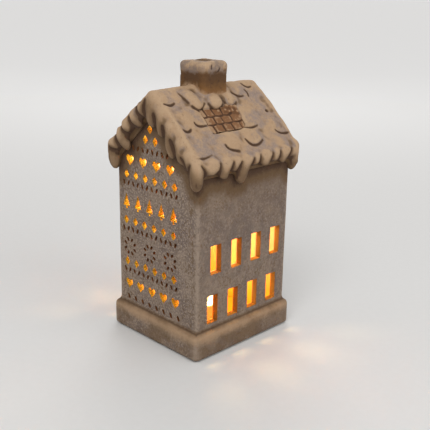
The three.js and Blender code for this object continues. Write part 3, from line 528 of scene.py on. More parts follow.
class Finish(Nodes):
    """A procedural material on object coordinates."""

    def __init__(self, name, **constants):
        self.material = bpy.data.materials.new(name)
        self.material.use_nodes = True
        super().__init__(self.material.node_tree)
        self.tree.nodes.clear()
        self.shader = self.tree.nodes.new("ShaderNodeBsdfPrincipled")
        output = self.tree.nodes.new("ShaderNodeOutputMaterial")
        self.tree.links.new(self.shader.outputs[0], output.inputs["Surface"])
        for socket, value in constants.items():
            self.shader.inputs[socket.replace("_", " ")].default_value = value
        self.place = self.node("ShaderNodeTexCoord", {}, {}, "Object")

    def axes(self):
        """X, Y and Z in millimetres."""
        kind = "ShaderNodeSeparateXYZ"
        split = [self.node(kind, {}, {"Vector": self.place}, axis) for axis in range(3)]
        return [part * (1 / MM) for part in split]

    def speck(self, size, detail=3, roughness=0.55, stretch=None):
        """Noise from 0 to 1 with features of about that size in millimetres."""
        place = self.place
        if stretch:
            place = self.node("ShaderNodeVectorMath", {"operation": "MULTIPLY"}, {0: place, 1: stretch})
        inputs = {"Vector": place, "Scale": 1 / (size * MM), "Detail": detail, "Roughness": roughness}
        return self.node("ShaderNodeTexNoise", {"normalize": True}, inputs, "Fac")

    def ramp(self, value, low, high):
        """0 at the first value, 1 at the second, smooth between and level beyond."""
        inputs = {"Value": value, "From Min": low, "From Max": high, "To Min": 0.0, "To Max": 1.0}
        return self.node("ShaderNodeMapRange", {"interpolation_type": "SMOOTHSTEP"}, inputs)

    def within(self, half_x, half_y):
        """1 inside a rectangle about the middle of the house, in millimetres, and 0 outside."""
        x, y, _ = self.axes()
        return self.ramp(half_x - abs(x), -0.5, 0.5) * self.ramp(half_y - abs(y), -0.5, 0.5)

    def coats(self, tone, *layers):
        """A colour with others laid over it in order, each by its share."""
        for share, over in layers:
            tone = self.blend(share, tone, over)
        return tone

    def stored(self, name):
        """A number that the mesh keeps for each point or face."""
        return self.node("ShaderNodeAttribute", {"attribute_name": name}, {}, "Fac")

    def surface(self, tone, roughness, height, depth, strength=0.6):
        """Links the colour, the roughness and a bump of that depth in millimetres."""
        self.fill(self.shader.inputs["Base Color"], tone)
        self.fill(self.shader.inputs["Roughness"], roughness)
        inputs = {"Height": height, "Distance": depth * MM, "Strength": strength}
        self.fill(self.shader.inputs["Normal"], self.node("ShaderNodeBump", {}, inputs))
        return self.material


def clay(name):
    """A finish with the gloss that the clays share."""
    return Finish(name, IOR=1.45)


def clay_grain(finish):
    """Fine and coarse grain that the clays share: fleck, sand, cloud."""
    return finish.speck(0.9, 4, 0.7), finish.speck(3.2, 3, 0.6), finish.speck(17, 3, 0.55)


def raw_clay_colour(finish, look):
    """Bare clay, ochre low down and paler towards the roof."""
    fleck, sand, cloud = clay_grain(finish)
    red, green, blue = look.raw_clay
    _, _, z = finish.axes()
    tone = finish.blend(finish.ramp(z, 15.0, 85.0), (red, 0.75 * green, 0.06 * blue), look.raw_clay)
    dark = finish.blend(0.3, tone, look.amber_and_reveal_shade)
    flecks = finish.ramp(fleck, 0.66, 0.82) * 0.3
    return finish.coats(dark, (cloud * 0.6 + sand * 0.4, tone), (flecks, look.brown_wash_and_shade))


def wall_finish(look):
    """Grey engobe outside, brown in the hollows, bare clay in the cut-outs and inside; painted shade under
    the snow, in the plinth's cove and in the cut-outs, and a painted highlight along the plinth's top edge.
    """
    finish = clay("wall_clay")
    ramp, speck, stored = finish.ramp, finish.speck, finish.stored
    pale, brown, deep = look.engobe_pale, look.brown_wash_and_shade, look.deep_wash_and_shade
    fleck, sand, cloud = clay_grain(finish)
    x, y, z = finish.axes()
    side, end = HALF_W / MM - abs(x), HALF_L / MM - abs(y)
    depth = side.least(end)
    beside = ramp(end - side, -2.0, 2.0)

    # Slip with thin patches, pale grit, brown pits, and stains that differ on side walls and gables; the
    # side walls also grow darker and browner towards the eaves
    patch, streak = speck(30, 4, 0.6), speck(14, 5, 0.7, (1, 1, 0.6))
    grit, pits = speck(1.7, 2, 0.6), ramp(speck(2.1, 3, 0.7), 0.52, 0.61)
    toward_eaves = ramp(EAVES_Z / MM - z + (cloud - 0.5) * 26 + (streak - 0.5) * 16, 46.0, 2.0)
    blotch = ramp(speck(20, 4, 0.65, (1, 1, 0.7)), 0.48, 0.62)
    bloom = ramp(speck(6, 3, 0.7), 0.50, 0.66)
    tone = finish.coats(
        look.engobe_dark,
        (ramp(patch, 0.40, 0.62), look.engobe),
        (ramp(streak, 0.44, 0.64) * 0.35, pale),
        (ramp(grit, 0.49, 0.61) * (0.95 - beside * 0.45), pale),
        (pits * (0.42 + ramp(cloud, 0.42, 0.62) * 0.45 - beside * 0.15), brown),
        (beside * (0.12 + toward_eaves * 0.42), 0.42 * look.snow),
        (beside * blotch * 0.4, 0.8 * look.engobe_dark),
        ((1 - beside) * bloom * 0.35, pale),
    )

    # Rubbed corners with brown blots beside them, and brown oxide with painted shade that runs down from
    # the snow, darkest beside it
    rubbed = ramp(side.most(end) + (sand - 0.5) * 10 + (fleck - 0.5) * 8, 4.0, 0.4)
    by_corner = ramp(abs(side - 6.0), 6.0, 2.0) * ramp(abs(end), 2.5, 1.0)
    blots = ramp(speck(4.0, 4, 0.7, (1, 1, 0.6)), 0.52, 0.64)
    wash_and_shade = stored("wash_and_shade") + (sand - 0.5) * 0.3 + (cloud - 0.5) * 0.3
    tone = finish.coats(
        tone,
        (rubbed * 0.7, pale),
        (by_corner * blots * 0.7, brown),
        (ramp(wash_and_shade, 0.04, 0.54) * 0.9, brown),
        (ramp(wash_and_shade, 0.55, 0.88) * 0.85, deep),
    )

    # Plinth, with a brown cove above it that holds oxide and painted shade, pale corners, and a painted
    # highlight along its rounded top edge
    outside = ramp(depth, -0.8, -2.2)
    aged = ramp(patch * 0.5 + sand * 0.5, 0.42, 0.60)
    cove = abs(z - (PLINTH_TOP / MM + 0.2)) + (sand - 0.5) * 3
    arris = PLINTH_X / MM - abs(x) + (PLINTH_Y / MM - abs(y)) + (sand - 0.5) * 5
    shoulder_highlight = abs(z - (PLINTH_TOP / MM - 3.5)) + (cloud - 0.5) * 10 + (sand - 0.5) * 4
    tone = finish.coats(
        tone,
        (aged * outside * 0.35, 0.62 * look.snow),
        # Brown oxide with painted shade in the crease above the plinth
        (ramp(cove, 3.4, 0.8) * 0.8, brown),
        (ramp(cove, 1.8, 0.2) * 0.6, deep),
        (outside * (0.14 + ramp(cloud, 0.42, 0.60) * 0.40), brown),
        (ramp(arris, 5.5, 1.0) * outside * 0.75, pale),
        # Painted highlight along the plinth's rounded top edge
        (ramp(shoulder_highlight, 8.0, -2.0) * outside * 0.85, look.snow),
    )

    # Bare clay of the cut-outs and the inside; painted shade darkens the mouths of the cut-outs, most round
    # the windows and in the small holes
    reveal = finish.coats(look.amber_and_reveal_shade, (beside, look.window_reveal_shade), (ramp(sand, 0.60, 0.40) * 0.2, look.dark_fleck_and_hole_shade))
    bare = finish.blend(ramp(depth, 4.6, 6.0), reveal, raw_clay_colour(finish, look))
    # The small holes take painted shade
    tone = finish.coats(tone, (stored("bare"), bare), (stored("dark"), look.dark_fleck_and_hole_shade))
    return finish.surface(tone, 0.78 + sand * 0.16, fleck * 0.5 + grit * 0.9 - pits * 0.6, 0.6)


def snow_colour(finish, look):
    """Sandy slip, ochre and paler where it is rubbed, grey in flat places, brown in the hollows, and darker
    with painted shade behind and under the lobes.

    With it come the height of its grain and its roughness."""
    ramp = finish.ramp
    fleck, sand, cloud = clay_grain(finish)
    crest = finish.stored("crest")
    grit, pits = finish.speck(1.5, 2, 0.6), ramp(finish.speck(2.4, 4, 0.75), 0.58, 0.72)
    stain_and_shade = finish.stored("wash_and_shade") + (sand - 0.5) * 0.2
    tone = finish.coats(
        look.snow_grey,
        (ramp(cloud + crest * 0.35 + (sand - 0.5) * 0.3, 0.38, 0.66), look.snow),
        (ramp(sand * 0.5 + fleck * 0.4 + crest * 0.25, 0.46, 0.72) * 0.6, look.snow_pale),
        (ramp(grit, 0.48, 0.68) * 0.4, look.snow_pale),
        (pits * 0.55, look.brown_wash_and_shade),
        (ramp(stain_and_shade, 0.06, 0.60) * 0.8, look.brown_wash_and_shade),
        (ramp(stain_and_shade, 0.55, 1.0) * 0.9, look.deep_wash_and_shade),
    )
    return tone, fleck * 0.45 + sand * 0.8 - pits * 0.5, 0.74 + sand * 0.18


def snow_finish(look):
    """The snow of the roof, with bare clay on its underside and a brown edge of painted shade round that.
    """
    finish = clay("snow_clay")
    tone, height, rough = snow_colour(finish, look)
    x, _, z = finish.axes()
    below = SLAB_UNDER / MM - abs(x) * TAN - z
    rim = finish.within(SLAB_HIGH.x / MM + 2.6, SNOW_END / MM + 1.5)
    inside = finish.within(HALF_W / MM - 1.5, HALF_L / MM - 1.5)
    tone = finish.coats(
        tone,
        # Painted shade: brown on the slab edges under the overhang
        (finish.ramp(below, -6.0, -3.5) * rim * 0.9, look.brown_wash_and_shade),
        (finish.ramp(below, -2.0, -0.8) * inside, raw_clay_colour(finish, look)),
    )
    return finish.surface(tone, rough, height, 0.5)


def stack_colour(finish, look):
    """Brown clay of the chimney, darker under its cap, with snow rubbed on its foot and corners.

    With it comes the height of its grain."""
    ramp = finish.ramp
    fleck, sand, cloud = clay_grain(finish)
    x, y, z = finish.axes()
    uneven = (sand - 0.5) * 6 + (cloud - 0.5) * 8
    below = STACK_HIGH.z / MM - z + uneven
    above = z - SNOW_APEX / MM + abs(x).most(7) * TAN + uneven
    corner = ramp(abs(x) + abs(y) + uneven, 21.0, 26.0)
    pits = ramp(finish.speck(3.0, 3, 0.7), 0.56, 0.68)
    tone = finish.coats(
        0.55 * look.stack,
        (cloud * 0.9 + sand * 0.4 - 0.15, look.stack),
        (ramp(below, 4.0, 13.0) * 0.7 + corner * 0.3, 1.3 * look.stack),
        (ramp(below, 9.0, 1.5) * 0.4, look.deep_wash_and_shade),
        (ramp(above, 7.5, 2.0) * 0.8, look.snow),
        (pits * 0.5, look.deep_wash_and_shade),
    )
    return tone, fleck * 0.5 + sand * 0.8 - pits * 0.4


def stack_finish(look):
    """The chimney stack."""
    finish = clay("stack_clay")
    tone, height = stack_colour(finish, look)
    return finish.surface(tone, 0.85, height, 0.5)


def cap_finish(look):
    """The snow on the chimney, greyish in places, brown at its foot, with painted shade in the flue."""
    finish = clay("cap_clay")
    ramp = finish.ramp
    tone, height, rough = snow_colour(finish, look)
    x, y, z = finish.axes()
    patch = finish.speck(9, 4, 0.7)
    foot = z - STACK_HIGH.z / MM + (patch - 0.5) * 14
    from_flue = ((x - CHIMNEY_SHIFT.x / MM) ** 2 + (y - CHIMNEY_SHIFT.y / MM) ** 2) ** 0.5
    tone = finish.coats(
        tone,
        (ramp(patch, 0.34, 0.58) * 0.85, 0.68 * look.snow_grey),
        (ramp(finish.stored("wash_and_shade"), 0.25, 0.8) * 0.9, look.deep_wash_and_shade),
        (ramp(foot, 5.5, 0.5), stack_colour(finish, look)[0]),
        # Painted shade inside the flue
        (ramp(from_flue, 7.4, 6.4), look.brown_wash_and_shade),
    )
    return finish.surface(tone, rough, height, 0.5)


def tile_finish(look):
    """Reddish tiles with rubbed edges, partly a painted highlight, and dark joints."""
    finish = clay("tile_clay")
    fleck, sand, cloud = clay_grain(finish)
    # Lighter at random, on the dusted sides, and on raised edges as a painted highlight
    rubbed = finish.ramp(fleck * 0.3 + sand * 0.5 + finish.stored("crest") * 0.4, 0.46, 0.76)
    joint = finish.ramp(finish.stored("wash_and_shade") + (sand - 0.5) * 0.5, 0.15, 0.85)
    tone = finish.coats(
        0.6 * look.tile,
        (cloud * 0.6 + sand * 0.6 - 0.1, look.tile),
        (rubbed * 0.7, look.snow),
        (joint * 0.9, look.deep_wash_and_shade),
    )
    return finish.surface(tone, 0.76 + sand * 0.16, fleck * 0.5 + sand * 0.9, 0.5)


def felt_finish(look):
    """Matted dark felt."""
    finish = Finish("felt", Sheen_Weight=0.4)
    hair, mat = finish.speck(0.35, 5, 0.8), finish.speck(2.0, 3, 0.6)
    tone = finish.blend(hair * 0.6 + mat * 0.3, look.felt, 2.2 * look.felt)
    return finish.surface(tone, 0.92 + mat * 0.06, hair, 0.3, 0.8)


def plastic_finish(look):
    """Moulded plastic with a fine eggshell grain."""
    finish = Finish("white_plastic", IOR=1.49)
    grain, cloud = finish.speck(0.25, 3, 0.6), finish.speck(9.0, 2, 0.5)
    tone = finish.blend(cloud, 0.86 * look.plastic, look.plastic)
    return finish.surface(tone, 0.34 + grain * 0.2, grain, 0.04, 0.4)


def flame_finish(look):
    """Lit plastic flame, brightest round its lamp."""
    finish = Finish("flame_plastic", IOR=1.49, Emission_Strength=0.6)
    _, _, z = finish.axes()
    low, high = (corner.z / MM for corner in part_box("flame_lens"))
    tip = finish.ramp(z, low + 0.35 * (high - low), high)
    grain = finish.speck(0.5, 3, 0.6)
    hot = finish.blend(tip, (1.0, 0.80, 0.42), look.flame)
    finish.fill(finish.shader.inputs["Emission Color"], hot)
    tone = finish.blend(grain * 0.3 + tip * 0.5, (0.34, 0.22, 0.08), 0.35 * look.flame)
    return finish.surface(tone, 0.3 + grain * 0.15, grain, 0.05, 0.4)


def resin_finish():
    """Clear lamp resin."""
    finish = Finish("led_resin", IOR=1.52, Transmission_Weight=0.6)
    grain, cloud = finish.speck(0.6, 2, 0.5), finish.speck(3.0, 2, 0.5)
    tone = finish.blend(cloud, (0.9, 0.84, 0.66), (0.97, 0.94, 0.86))
    return finish.surface(tone, 0.08 + grain * 0.08, grain, 0.01, 0.3)


def steel_finish():
    """Stamped steel with fine scratches."""
    finish = Finish("steel", Metallic=1.0)
    scratch, cloud = finish.speck(0.2, 4, 0.7), finish.speck(4.0, 2, 0.5)
    tone = finish.blend(cloud, (0.50, 0.50, 0.49), (0.68, 0.68, 0.66))
    return finish.surface(tone, 0.24 + scratch * 0.22, scratch, 0.01, 0.4)


# Walls

# What the cutters leave: bare clay, and the small holes, whose clay is painted dark as shade
CUT_MATERIALS = ("bare", "dark")
# Half width below which a cut-out is widened by hand, and by how much
SMALL_HOLE = 2.4 * MM
SMALL_WIDEN = 1.35
# How far a hand-cut hole is turned, in radians, and grown
LOOSE_TURN = 0.035
LOOSE_GROWTH = (-0.02, 0.04)
PLINTH_ROUND = 4 * MM
WALL_SEED = 3.1
# Share of the faces that the walls keep before they are cut
KEPT_FACES = 0.6
# What the plugs leave of a wall's thickness on either face, and of the gable's edge
PLUG_SKIN = 0.6 * MM
PLUG_EDGE = 1.5 * MM
HOLLOW_WAVES = ((22 * MM, 0.5 * MM), (7 * MM, 0.2 * MM))
HOLLOW_SEED = 8.4


def islands(bm):
    """The separate solids of a bmesh, as lists of vertices in a fixed order."""
    bm.verts.index_update()
    left, found = set(bm.verts), []
    while left:
        start = left.pop()
        group, edge = {start}, [start]
        while edge:
            vert = edge.pop()
            others = {link.other_vert(vert) for link in vert.link_edges} - group
            group |= others
            edge.extend(others)
        left -= group
        found.append(sorted(group, key=lambda v: v.index))
    return sorted(found, key=lambda group: min(v.index for v in group))


def hole_widening(group, centre, axis):
    """How much a cut-out is widened across its narrow side, as three factors."""
    factors = Vector((1, 1, 1))
    reach = {side: max((v.co - centre)[side] for v in group) for side in (1 - axis, 2)}
    narrow = min(reach, key=reach.get)
    if reach[narrow] < SMALL_HOLE:
        factors[narrow] = SMALL_WIDEN
    return factors


def middle_of(verts):
    """Mean place of some vertices."""
    return sum((v.co for v in verts), Vector()) / len(verts)


def plugs(node, slab, axis, seed, looseness):
    """What fills the cut-outs of a wall, lengthened and flared into cutters.

    The looseness is how far each one is turned and stretched by hand."""
    form = bpy.context.scene.house_form
    body = cut(made(f"{node}_plugs", slab), made(f"{node}_copy", copies(node)))
    body.data.materials.clear()
    bm = bmesh.new()
    bm.from_mesh(body.data)
    bmesh.ops.remove_doubles(bm, verts=bm.verts, dist=10 * JOIN)
    bmesh.ops.dissolve_limit(bm, verts=bm.verts, edges=bm.edges, angle_limit=math.radians(2))
    low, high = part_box(node)
    outward = 1 if abs(high[axis]) > abs(low[axis]) else -1
    face = high[axis] if outward > 0 else low[axis]
    middle = (low[axis] + high[axis]) / 2
    draw = random.Random(seed)
    for group in islands(bm):
        centre = middle_of(group)
        turn = Matrix.Rotation(looseness * draw.uniform(-LOOSE_TURN, LOOSE_TURN), 3, "XYZ"[axis])
        grow = 1 + looseness * draw.uniform(*LOOSE_GROWTH)
        stretch = Matrix.Diagonal(hole_widening(group, centre, axis))
        for vert in group:
            outer = (vert.co[axis] - middle) * outward > 0
            vert.co = centre + turn @ stretch @ (vert.co - centre) * grow
            vert.co[axis] = face + outward * 2 * form.mouth if outer else middle - outward * WALL_T
    neck, along = Vector(), Vector()
    neck[axis] = face - outward * form.mouth
    along[axis] = outward
    everything = [*bm.verts, *bm.edges, *bm.faces]
    bmesh.ops.bisect_plane(bm, geom=everything, dist=JOIN, plane_co=neck, plane_no=along)
    for group in islands(bm):
        centre = middle_of(group)
        # Faces of small holes get the second material, which marks them for painted shade
        small = max(hole_widening(group, centre, axis)) > 1
        for vert in group:
            for side in vert.link_faces:
                side.material_index = int(small)
            if (vert.co[axis] - face) * outward > 0:
                spoke = vert.co - centre
                spoke[axis] = 0
                vert.co += spoke.normalized() * 2 * form.mouth
    bmesh.ops.recalc_face_normals(bm, faces=bm.faces)
    bm.to_mesh(body.data)
    bm.free()
    for name in CUT_MATERIALS:
        body.data.materials.append(bpy.data.materials[name])
    return body


def wall_outline(inset):
    """The gable's outline, drawn in by an inset."""
    half = HALF_W - inset
    eaves = EAVES_Z - inset * (1 / COS - TAN)
    return [
        (-half, FOOT_Z + inset),
        (half, FOOT_Z + inset),
        (half, eaves),
        (0, eaves + half * TAN),
        (-half, eaves),
    ]


def wash_and_shade_by_snow(mesh, snow, reach):
    """How near each point of the walls is to the snow, for the brown oxide and painted shade there: 1
    beside it, 0 at that reach.
    """
    tree = BVHTree.FromPolygons(
        [v.co for v in snow.data.vertices], [tuple(f.vertices) for f in snow.data.polygons]
    )
    away = np.full(len(mesh.vertices), reach)
    for index, vert in enumerate(mesh.vertices):
        nearest = tree.find_nearest(vert.co, reach)
        if nearest[3] is not None:
            away[index] = nearest[3]
    return 1 - away / reach


def cut_faces(mesh):
    """Keeps for each face which of the cutters' materials it has, and drops those materials."""
    slots = np.empty(len(mesh.polygons), np.int32)
    mesh.polygons.foreach_get("material_index", slots)
    names = np.array([material.name for material in mesh.materials])[slots]
    for name in CUT_MATERIALS:
        kept = mesh.attributes.new(name, "FLOAT", "FACE")
        kept.data.foreach_set("value", (names == name).astype(np.float32))
    mesh.polygons.foreach_set("material_index", np.zeros_like(slots))


class CHRISTMAS_OT_walls(bpy.types.Operator):
    """Builds the fused clay walls, floor and plinth, with their cut-outs"""

    bl_idname = "christmas_house.walls"
    bl_label = "Clay walls"

    def execute(self, context):
        form = context.scene.house_form
        bare, _ = [bpy.data.materials.new(name) for name in CUT_MATERIALS]
        bm = prism(wall_outline(0), -HALF_L, HALF_L)
        foot, top = (-PLINTH_X, -PLINTH_Y, FOOT_Z), (PLINTH_X, PLINTH_Y, PLINTH_TOP)
        added(bm, rounded_block(foot, top, PLINTH_ROUND, PLINTH_ROUND))
        shell = softened(made("clay_walls", bm), form.wall_grid, 1)
        filled(shell, form.wall_grid, form.fill, form.wall_rounds)
        waved(shell, ((34 * MM, form.clay_wave), (9 * MM, 0.35 * form.clay_wave)), WALL_SEED)
        shell.data.materials.append(bpy.data.materials.new("skin"))
        thinned(shell, KEPT_FACES)
        inner = block(
            (WALL_T - HALF_W, WALL_T - HALF_L, FLOOR_TOP),
            (HALF_W - WALL_T, HALF_L - WALL_T, GABLE_TOP + WALL_T),
        )
        bmesh.ops.subdivide_edges(inner, edges=inner.edges, cuts=24, use_grid_fill=True)
        hollow = waved(made("hollow", inner), HOLLOW_WAVES, HOLLOW_SEED)
        hollow.data.materials.append(bare)
        cut(shell, hollow)
        gable = prism(wall_outline(PLUG_EDGE), PLUG_SKIN - HALF_L, WALL_T - HALF_L - PLUG_SKIN)
        cut(shell, plugs("front_gable_wall", gable, axis=1, seed=11, looseness=1))
        for node, side, seed in (("right_window_wall", 1, 12), ("left_window_wall", -1, 13)):
            low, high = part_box(node)
            near, far = sorted((side * (HALF_W - PLUG_SKIN), side * (HALF_W - WALL_T + PLUG_SKIN)))
            panel = block((near, low.y + MM, low.z + MM), (far, high.y - MM, EAVES_Z - MM))
            cut(shell, plugs(node, panel, axis=0, seed=seed, looseness=0.1))
        cut_faces(shell.data)
        shaded(shell, math.radians(38))
        snow = bpy.data.objects["snow_roof"]
        # Brown oxide and painted shade on the walls, strongest beside the snow
        painted(shell.data, "wash_and_shade", wash_and_shade_by_snow(shell.data, snow, form.wash_shade_reach))
        placed(shell, "house", "wall_clay", wall_finish(context.scene.house_look), *WALL_NODES)
        return {"FINISHED"}


# Roof

# Grooves under clumps on the right slope: three points of a curve, each along the ridge and down the
# slope in millimetres, then its strength
GROOVES = (
    ((-56.6, 18.6), (-51.7, 20.6), (-46.8, 19.5), 1.0),
    ((-53.6, 45.3), (-49.8, 47.0), (-46.0, 45.5), 1.0),
    ((-38.6, 40.0), (-35.0, 43.2), (-26.0, 43.4), 1.0),
    ((-38.0, 9.6), (-36.0, 15.5), (-33.6, 21.4), 0.35),
    ((-58.0, 72.0), (-50.0, 72.8), (-41.0, 71.0), 0.5),
    ((9.9, 50.2), (17.0, 52.6), (26.2, 51.2), 0.8),
    ((2.9, 62.6), (9.5, 69.8), (21.3, 66.1), 1.0),
    ((-21.6, 64.4), (-18.6, 69.2), (-10.1, 71.6), 1.0),
    ((42.8, 58.9), (48.0, 62.6), (56.6, 63.5), 0.9),
    ((20.1, 15.8), (26.0, 19.6), (31.9, 20.0), 0.7),
    ((38.0, 14.0), (39.0, 17.5), (37.6, 21.4), 0.6),
    ((39.2, 6.7), (42.5, 11.0), (47.8, 11.3), 0.8),
    ((-14.0, 25.0), (-7.2, 30.8), (2.4, 26.4), 0.8),
    ((-31.8, 25.0), (-25.0, 29.2), (-17.6, 24.0), 0.7),
    ((5.0, 25.0), (11.0, 29.4), (18.5, 26.0), 0.5),
    ((-25.0, 51.6), (-9.7, 51.3), (6.5, 51.2), 0.9),
)
# The pit in the right slope: along the ridge, down the slope, and radius
PIT = (48.0, 38.4, 1.4)
# Clefts between the lobes of the front gable: three points across it and up in millimetres, and strength
GABLE_CLEFTS = (
    ((-7.1, 210.2), (-6.6, 204.0), (-4.9, 197.5), 1.0),
    ((-18.5, 204.5), (-14.8, 199.0), (-8.4, 195.7), 1.0),
    ((-27.2, 193.2), (-21.5, 188.3), (-14.0, 186.2), 1.0),
    ((-37.5, 185.5), (-34.0, 181.6), (-29.0, 180.0), 1.0),
    ((-46.7, 176.9), (-40.5, 169.0), (-31.2, 164.5), 1.0),
    ((-52.8, 165.9), (-48.5, 163.5), (-42.7, 163.1), 1.0),
    ((-13.2, 207.8), (-12.4, 209.2), (-11.8, 210.4), 0.9),
    ((5.7, 199.5), (7.2, 194.5), (7.4, 188.5), 1.0),
    ((16.4, 191.5), (17.4, 186.0), (17.2, 180.1), 1.0),
    ((25.6, 182.5), (29.0, 176.0), (30.7, 169.4), 1.0),
    ((38.0, 171.0), (41.5, 166.5), (43.6, 160.8), 0.7),
    ((49.2, 167.0), (47.0, 161.0), (47.4, 153.0), 1.0),
)
# Clefts between the lobes of the right eave: along it and up
EAVE_CLEFTS = (
    ((-56.2, 166.8), (-52.6, 160.0), (-53.2, 153.0), 1.0),
    ((-36.0, 165.5), (-36.4, 161.0), (-38.0, 157.0), 0.9),
    ((-21.7, 165.0), (-23.0, 160.0), (-25.0, 155.0), 1.0),
    ((-12.0, 163.5), (-15.0, 158.0), (-19.5, 151.0), 1.0),
    ((2.4, 164.5), (0.6, 160.0), (-2.6, 154.0), 1.0),
    ((10.5, 165.0), (10.0, 161.0), (9.0, 158.0), 1.0),
    ((26.0, 165.0), (24.5, 161.0), (23.0, 157.5), 1.0),
    ((35.5, 165.5), (34.5, 161.0), (32.5, 158.0), 1.0),
    ((50.0, 166.0), (47.0, 160.0), (43.0, 155.0), 0.9),
)
# Lobes of the front gable: middle across it and up, half width, half height and lean, in millimetres
# and radians
GABLE_LOBES = (
    (-10.5, 202.0, 5.8, 7.5, -0.35),
    (-18.8, 192.8, 6.0, 9.0, -0.58),
    (-31.0, 185.6, 6.0, 6.5, -0.30),
    (-36.6, 174.2, 6.2, 11.5, -0.66),
    (-46.8, 168.0, 5.2, 6.8, -0.57),
    (0.6, 198.0, 5.8, 9.5, -0.12),
    (12.2, 192.6, 4.9, 10.3, -0.10),
    (22.6, 181.0, 4.9, 13.6, -0.12),
    (36.0, 172.5, 6.0, 8.5, -0.40),
)
# Lobes of the right eave: middle along it and up, half width, half height and lean
EAVE_LOBES = (
    (-44.0, 164.0, 8.0, 6.2, -0.10),
    (-29.5, 161.0, 6.9, 8.2, -0.20),
    (-17.0, 161.5, 4.0, 5.0, -0.10),
    (-8.8, 156.4, 5.4, 11.0, -0.45),
    (6.2, 163.8, 4.3, 4.4, 0.0),
    (18.2, 162.4, 7.2, 6.4, -0.10),
    (30.4, 163.4, 4.9, 4.8, -0.15),
    (41.8, 161.6, 6.2, 7.6, -0.50),
)
# How far the lobes reach out from the roof, in millimetres
LOBE_DEEP = 4.0
# Drops of snow at the corners: radius, half height and height of the middle
DROP_R = 6.3
DROP_H = 14.3
DROP_Z = 159.5
# Balls of snow on the right slope, in millimetres: place down it and along the ridge, half length, half
# width and height, then how far it is turned in radians
BALLS = (
    (22.6, -5.6, 7.8, 8.8, 5.8, 0.0),
    (17.5, -27.5, 11.0, 7.8, 4.2, 0.38),
    (21.0, 11.0, 7.2, 7.0, 4.4, 0.3),
    (12.0, -51.7, 8.5, 8.5, 0.9, 0.0),
    (38.0, -49.8, 12.0, 8.0, 1.0, 0.0),
    (31.0, -36.0, 12.0, 8.0, 1.1, 0.0),
    (61.0, -48.0, 15.0, 11.0, 1.2, 0.0),
    (40.0, 26.0, 13.0, 10.0, 1.2, 0.0),
    (61.0, 11.5, 9.5, 10.5, 2.2, 0.0),
    (61.0, -14.5, 10.5, 10.5, 1.8, 0.0),
    (52.0, 50.0, 12.0, 9.0, 1.1, 0.0),
    (12.0, 26.0, 8.0, 8.0, 1.1, 0.0),
    (8.0, 43.5, 5.0, 6.0, 0.8, 0.0),
)
# Widths of grooves, clefts, and the painted shade round the clefts, in millimetres
GROOVE_W = 1.05
CLEFT_W = 1.3
CLEFT_SHADE_W = 3.4
# Thickness of the roof outside the walls, square to its slopes
OVERHANG_DEEP = 10 * MM
# Snow round the chimney in millimetres: how far each seat reaches from its sides, and climbs up them
CHIMNEY_SEATS = ((1.4, 3.4), (3.0, 1.8), (5.0, 0.7))
SEAT_DEEP = 9 * MM
# How much the pieces of snow are swollen before they are fused, which closes their seams
SEAM_SWELL = 0.35 * MM
SNOW_SEED = 5.7
# Share of the faces that the finished snow keeps
KEPT_SNOW = 0.82


def on_slope(down, along, up):
    """A place on the right slope in millimetres: down it, along the ridge, and out of the snow."""
    return Vector((
        (down * COS + up * SIN) * MM,
        along * MM,
        SNOW_APEX + (up * COS - down * SIN) * MM,
    ))


def slope_terms(co):
    """Along the ridge, down the slope and out of the snow, in millimetres, for points on either slope."""
    side = np.where(co[:, 0] >= 0, 1.0, -1.0)
    x, y, z = co[:, 0] * side / MM, co[:, 1] * side / MM, (co[:, 2] - SNOW_APEX) / MM
    return y, x * COS - z * SIN, x * SIN + z * COS


def groove_line(start, bend, end, steps=30):
    """Points of a curve through three points, and how strong it is at each."""
    start, bend, end = np.array((start, bend, end))
    share = np.linspace(0, 1, steps)[:, None]
    control = 2 * bend - (start + end) / 2
    line = (1 - share) ** 2 * start + 2 * share * (1 - share) * control + share ** 2 * end
    return line, np.sin(np.pi * np.linspace(0.08, 0.92, steps)) ** 0.5


def line_marks(first, second, lines, width):
    """How near each point of a plane lies to some curves, from 0 to 1."""
    marks = np.zeros(len(first))
    for start, bend, end, strength in lines:
        line, taper = groove_line(start, bend, end)
        for (a, b), share in zip(line, taper):
            away = (first - a) ** 2 + (second - b) ** 2
            marks = np.maximum(marks, strength * share * np.exp(-away / width ** 2))
    return marks


def groove_marks(co):
    """How deep each point lies in a groove of the slopes or in the pit, from 0 to 1."""
    along, down, out = slope_terms(co)
    pit = np.exp(-((along - PIT[0]) ** 2 + (down - PIT[1]) ** 2) / PIT[2] ** 2)
    marks = np.maximum(pit, line_marks(along, down, GROOVES, GROOVE_W))
    return np.where(out > -3.5, marks, 0)


def cleft_marks(co, width):
    """How deep each point lies in a cleft between two lobes of the gable ends or the eaves, from 0 to 1."""
    x, y, z = co.T / MM
    rear = [cleft for cleft in GABLE_CLEFTS if cleft[0][0] > 0]
    front, back = line_marks(x, z, GABLE_CLEFTS, width), line_marks(np.abs(x), z, rear, width)
    gable = np.where(y < 0, front, back)
    side = np.where(x > 0, 1.0, -1.0)
    eave = line_marks(y * side, z, EAVE_CLEFTS, width)
    gable = np.where(np.abs(y) > HALF_L / MM + 3, gable, 0)
    return np.maximum(gable, np.where(np.abs(x) > HALF_W / MM + 3, eave, 0))


def ball(bm, centre, turn, radii, half_turns=(0, 1)):
    """A ball of snow flattened to three radii in millimetres, and its twin across the house."""
    for half_turn in half_turns:
        place = (
            Matrix.Rotation(half_turn * math.pi, 4, "Z")
            @ Matrix.Translation(centre)
            @ turn
            @ Matrix.Diagonal((*(r * MM for r in radii), 1))
        )
        bmesh.ops.create_icosphere(bm, subdivisions=3, radius=1, matrix=place)


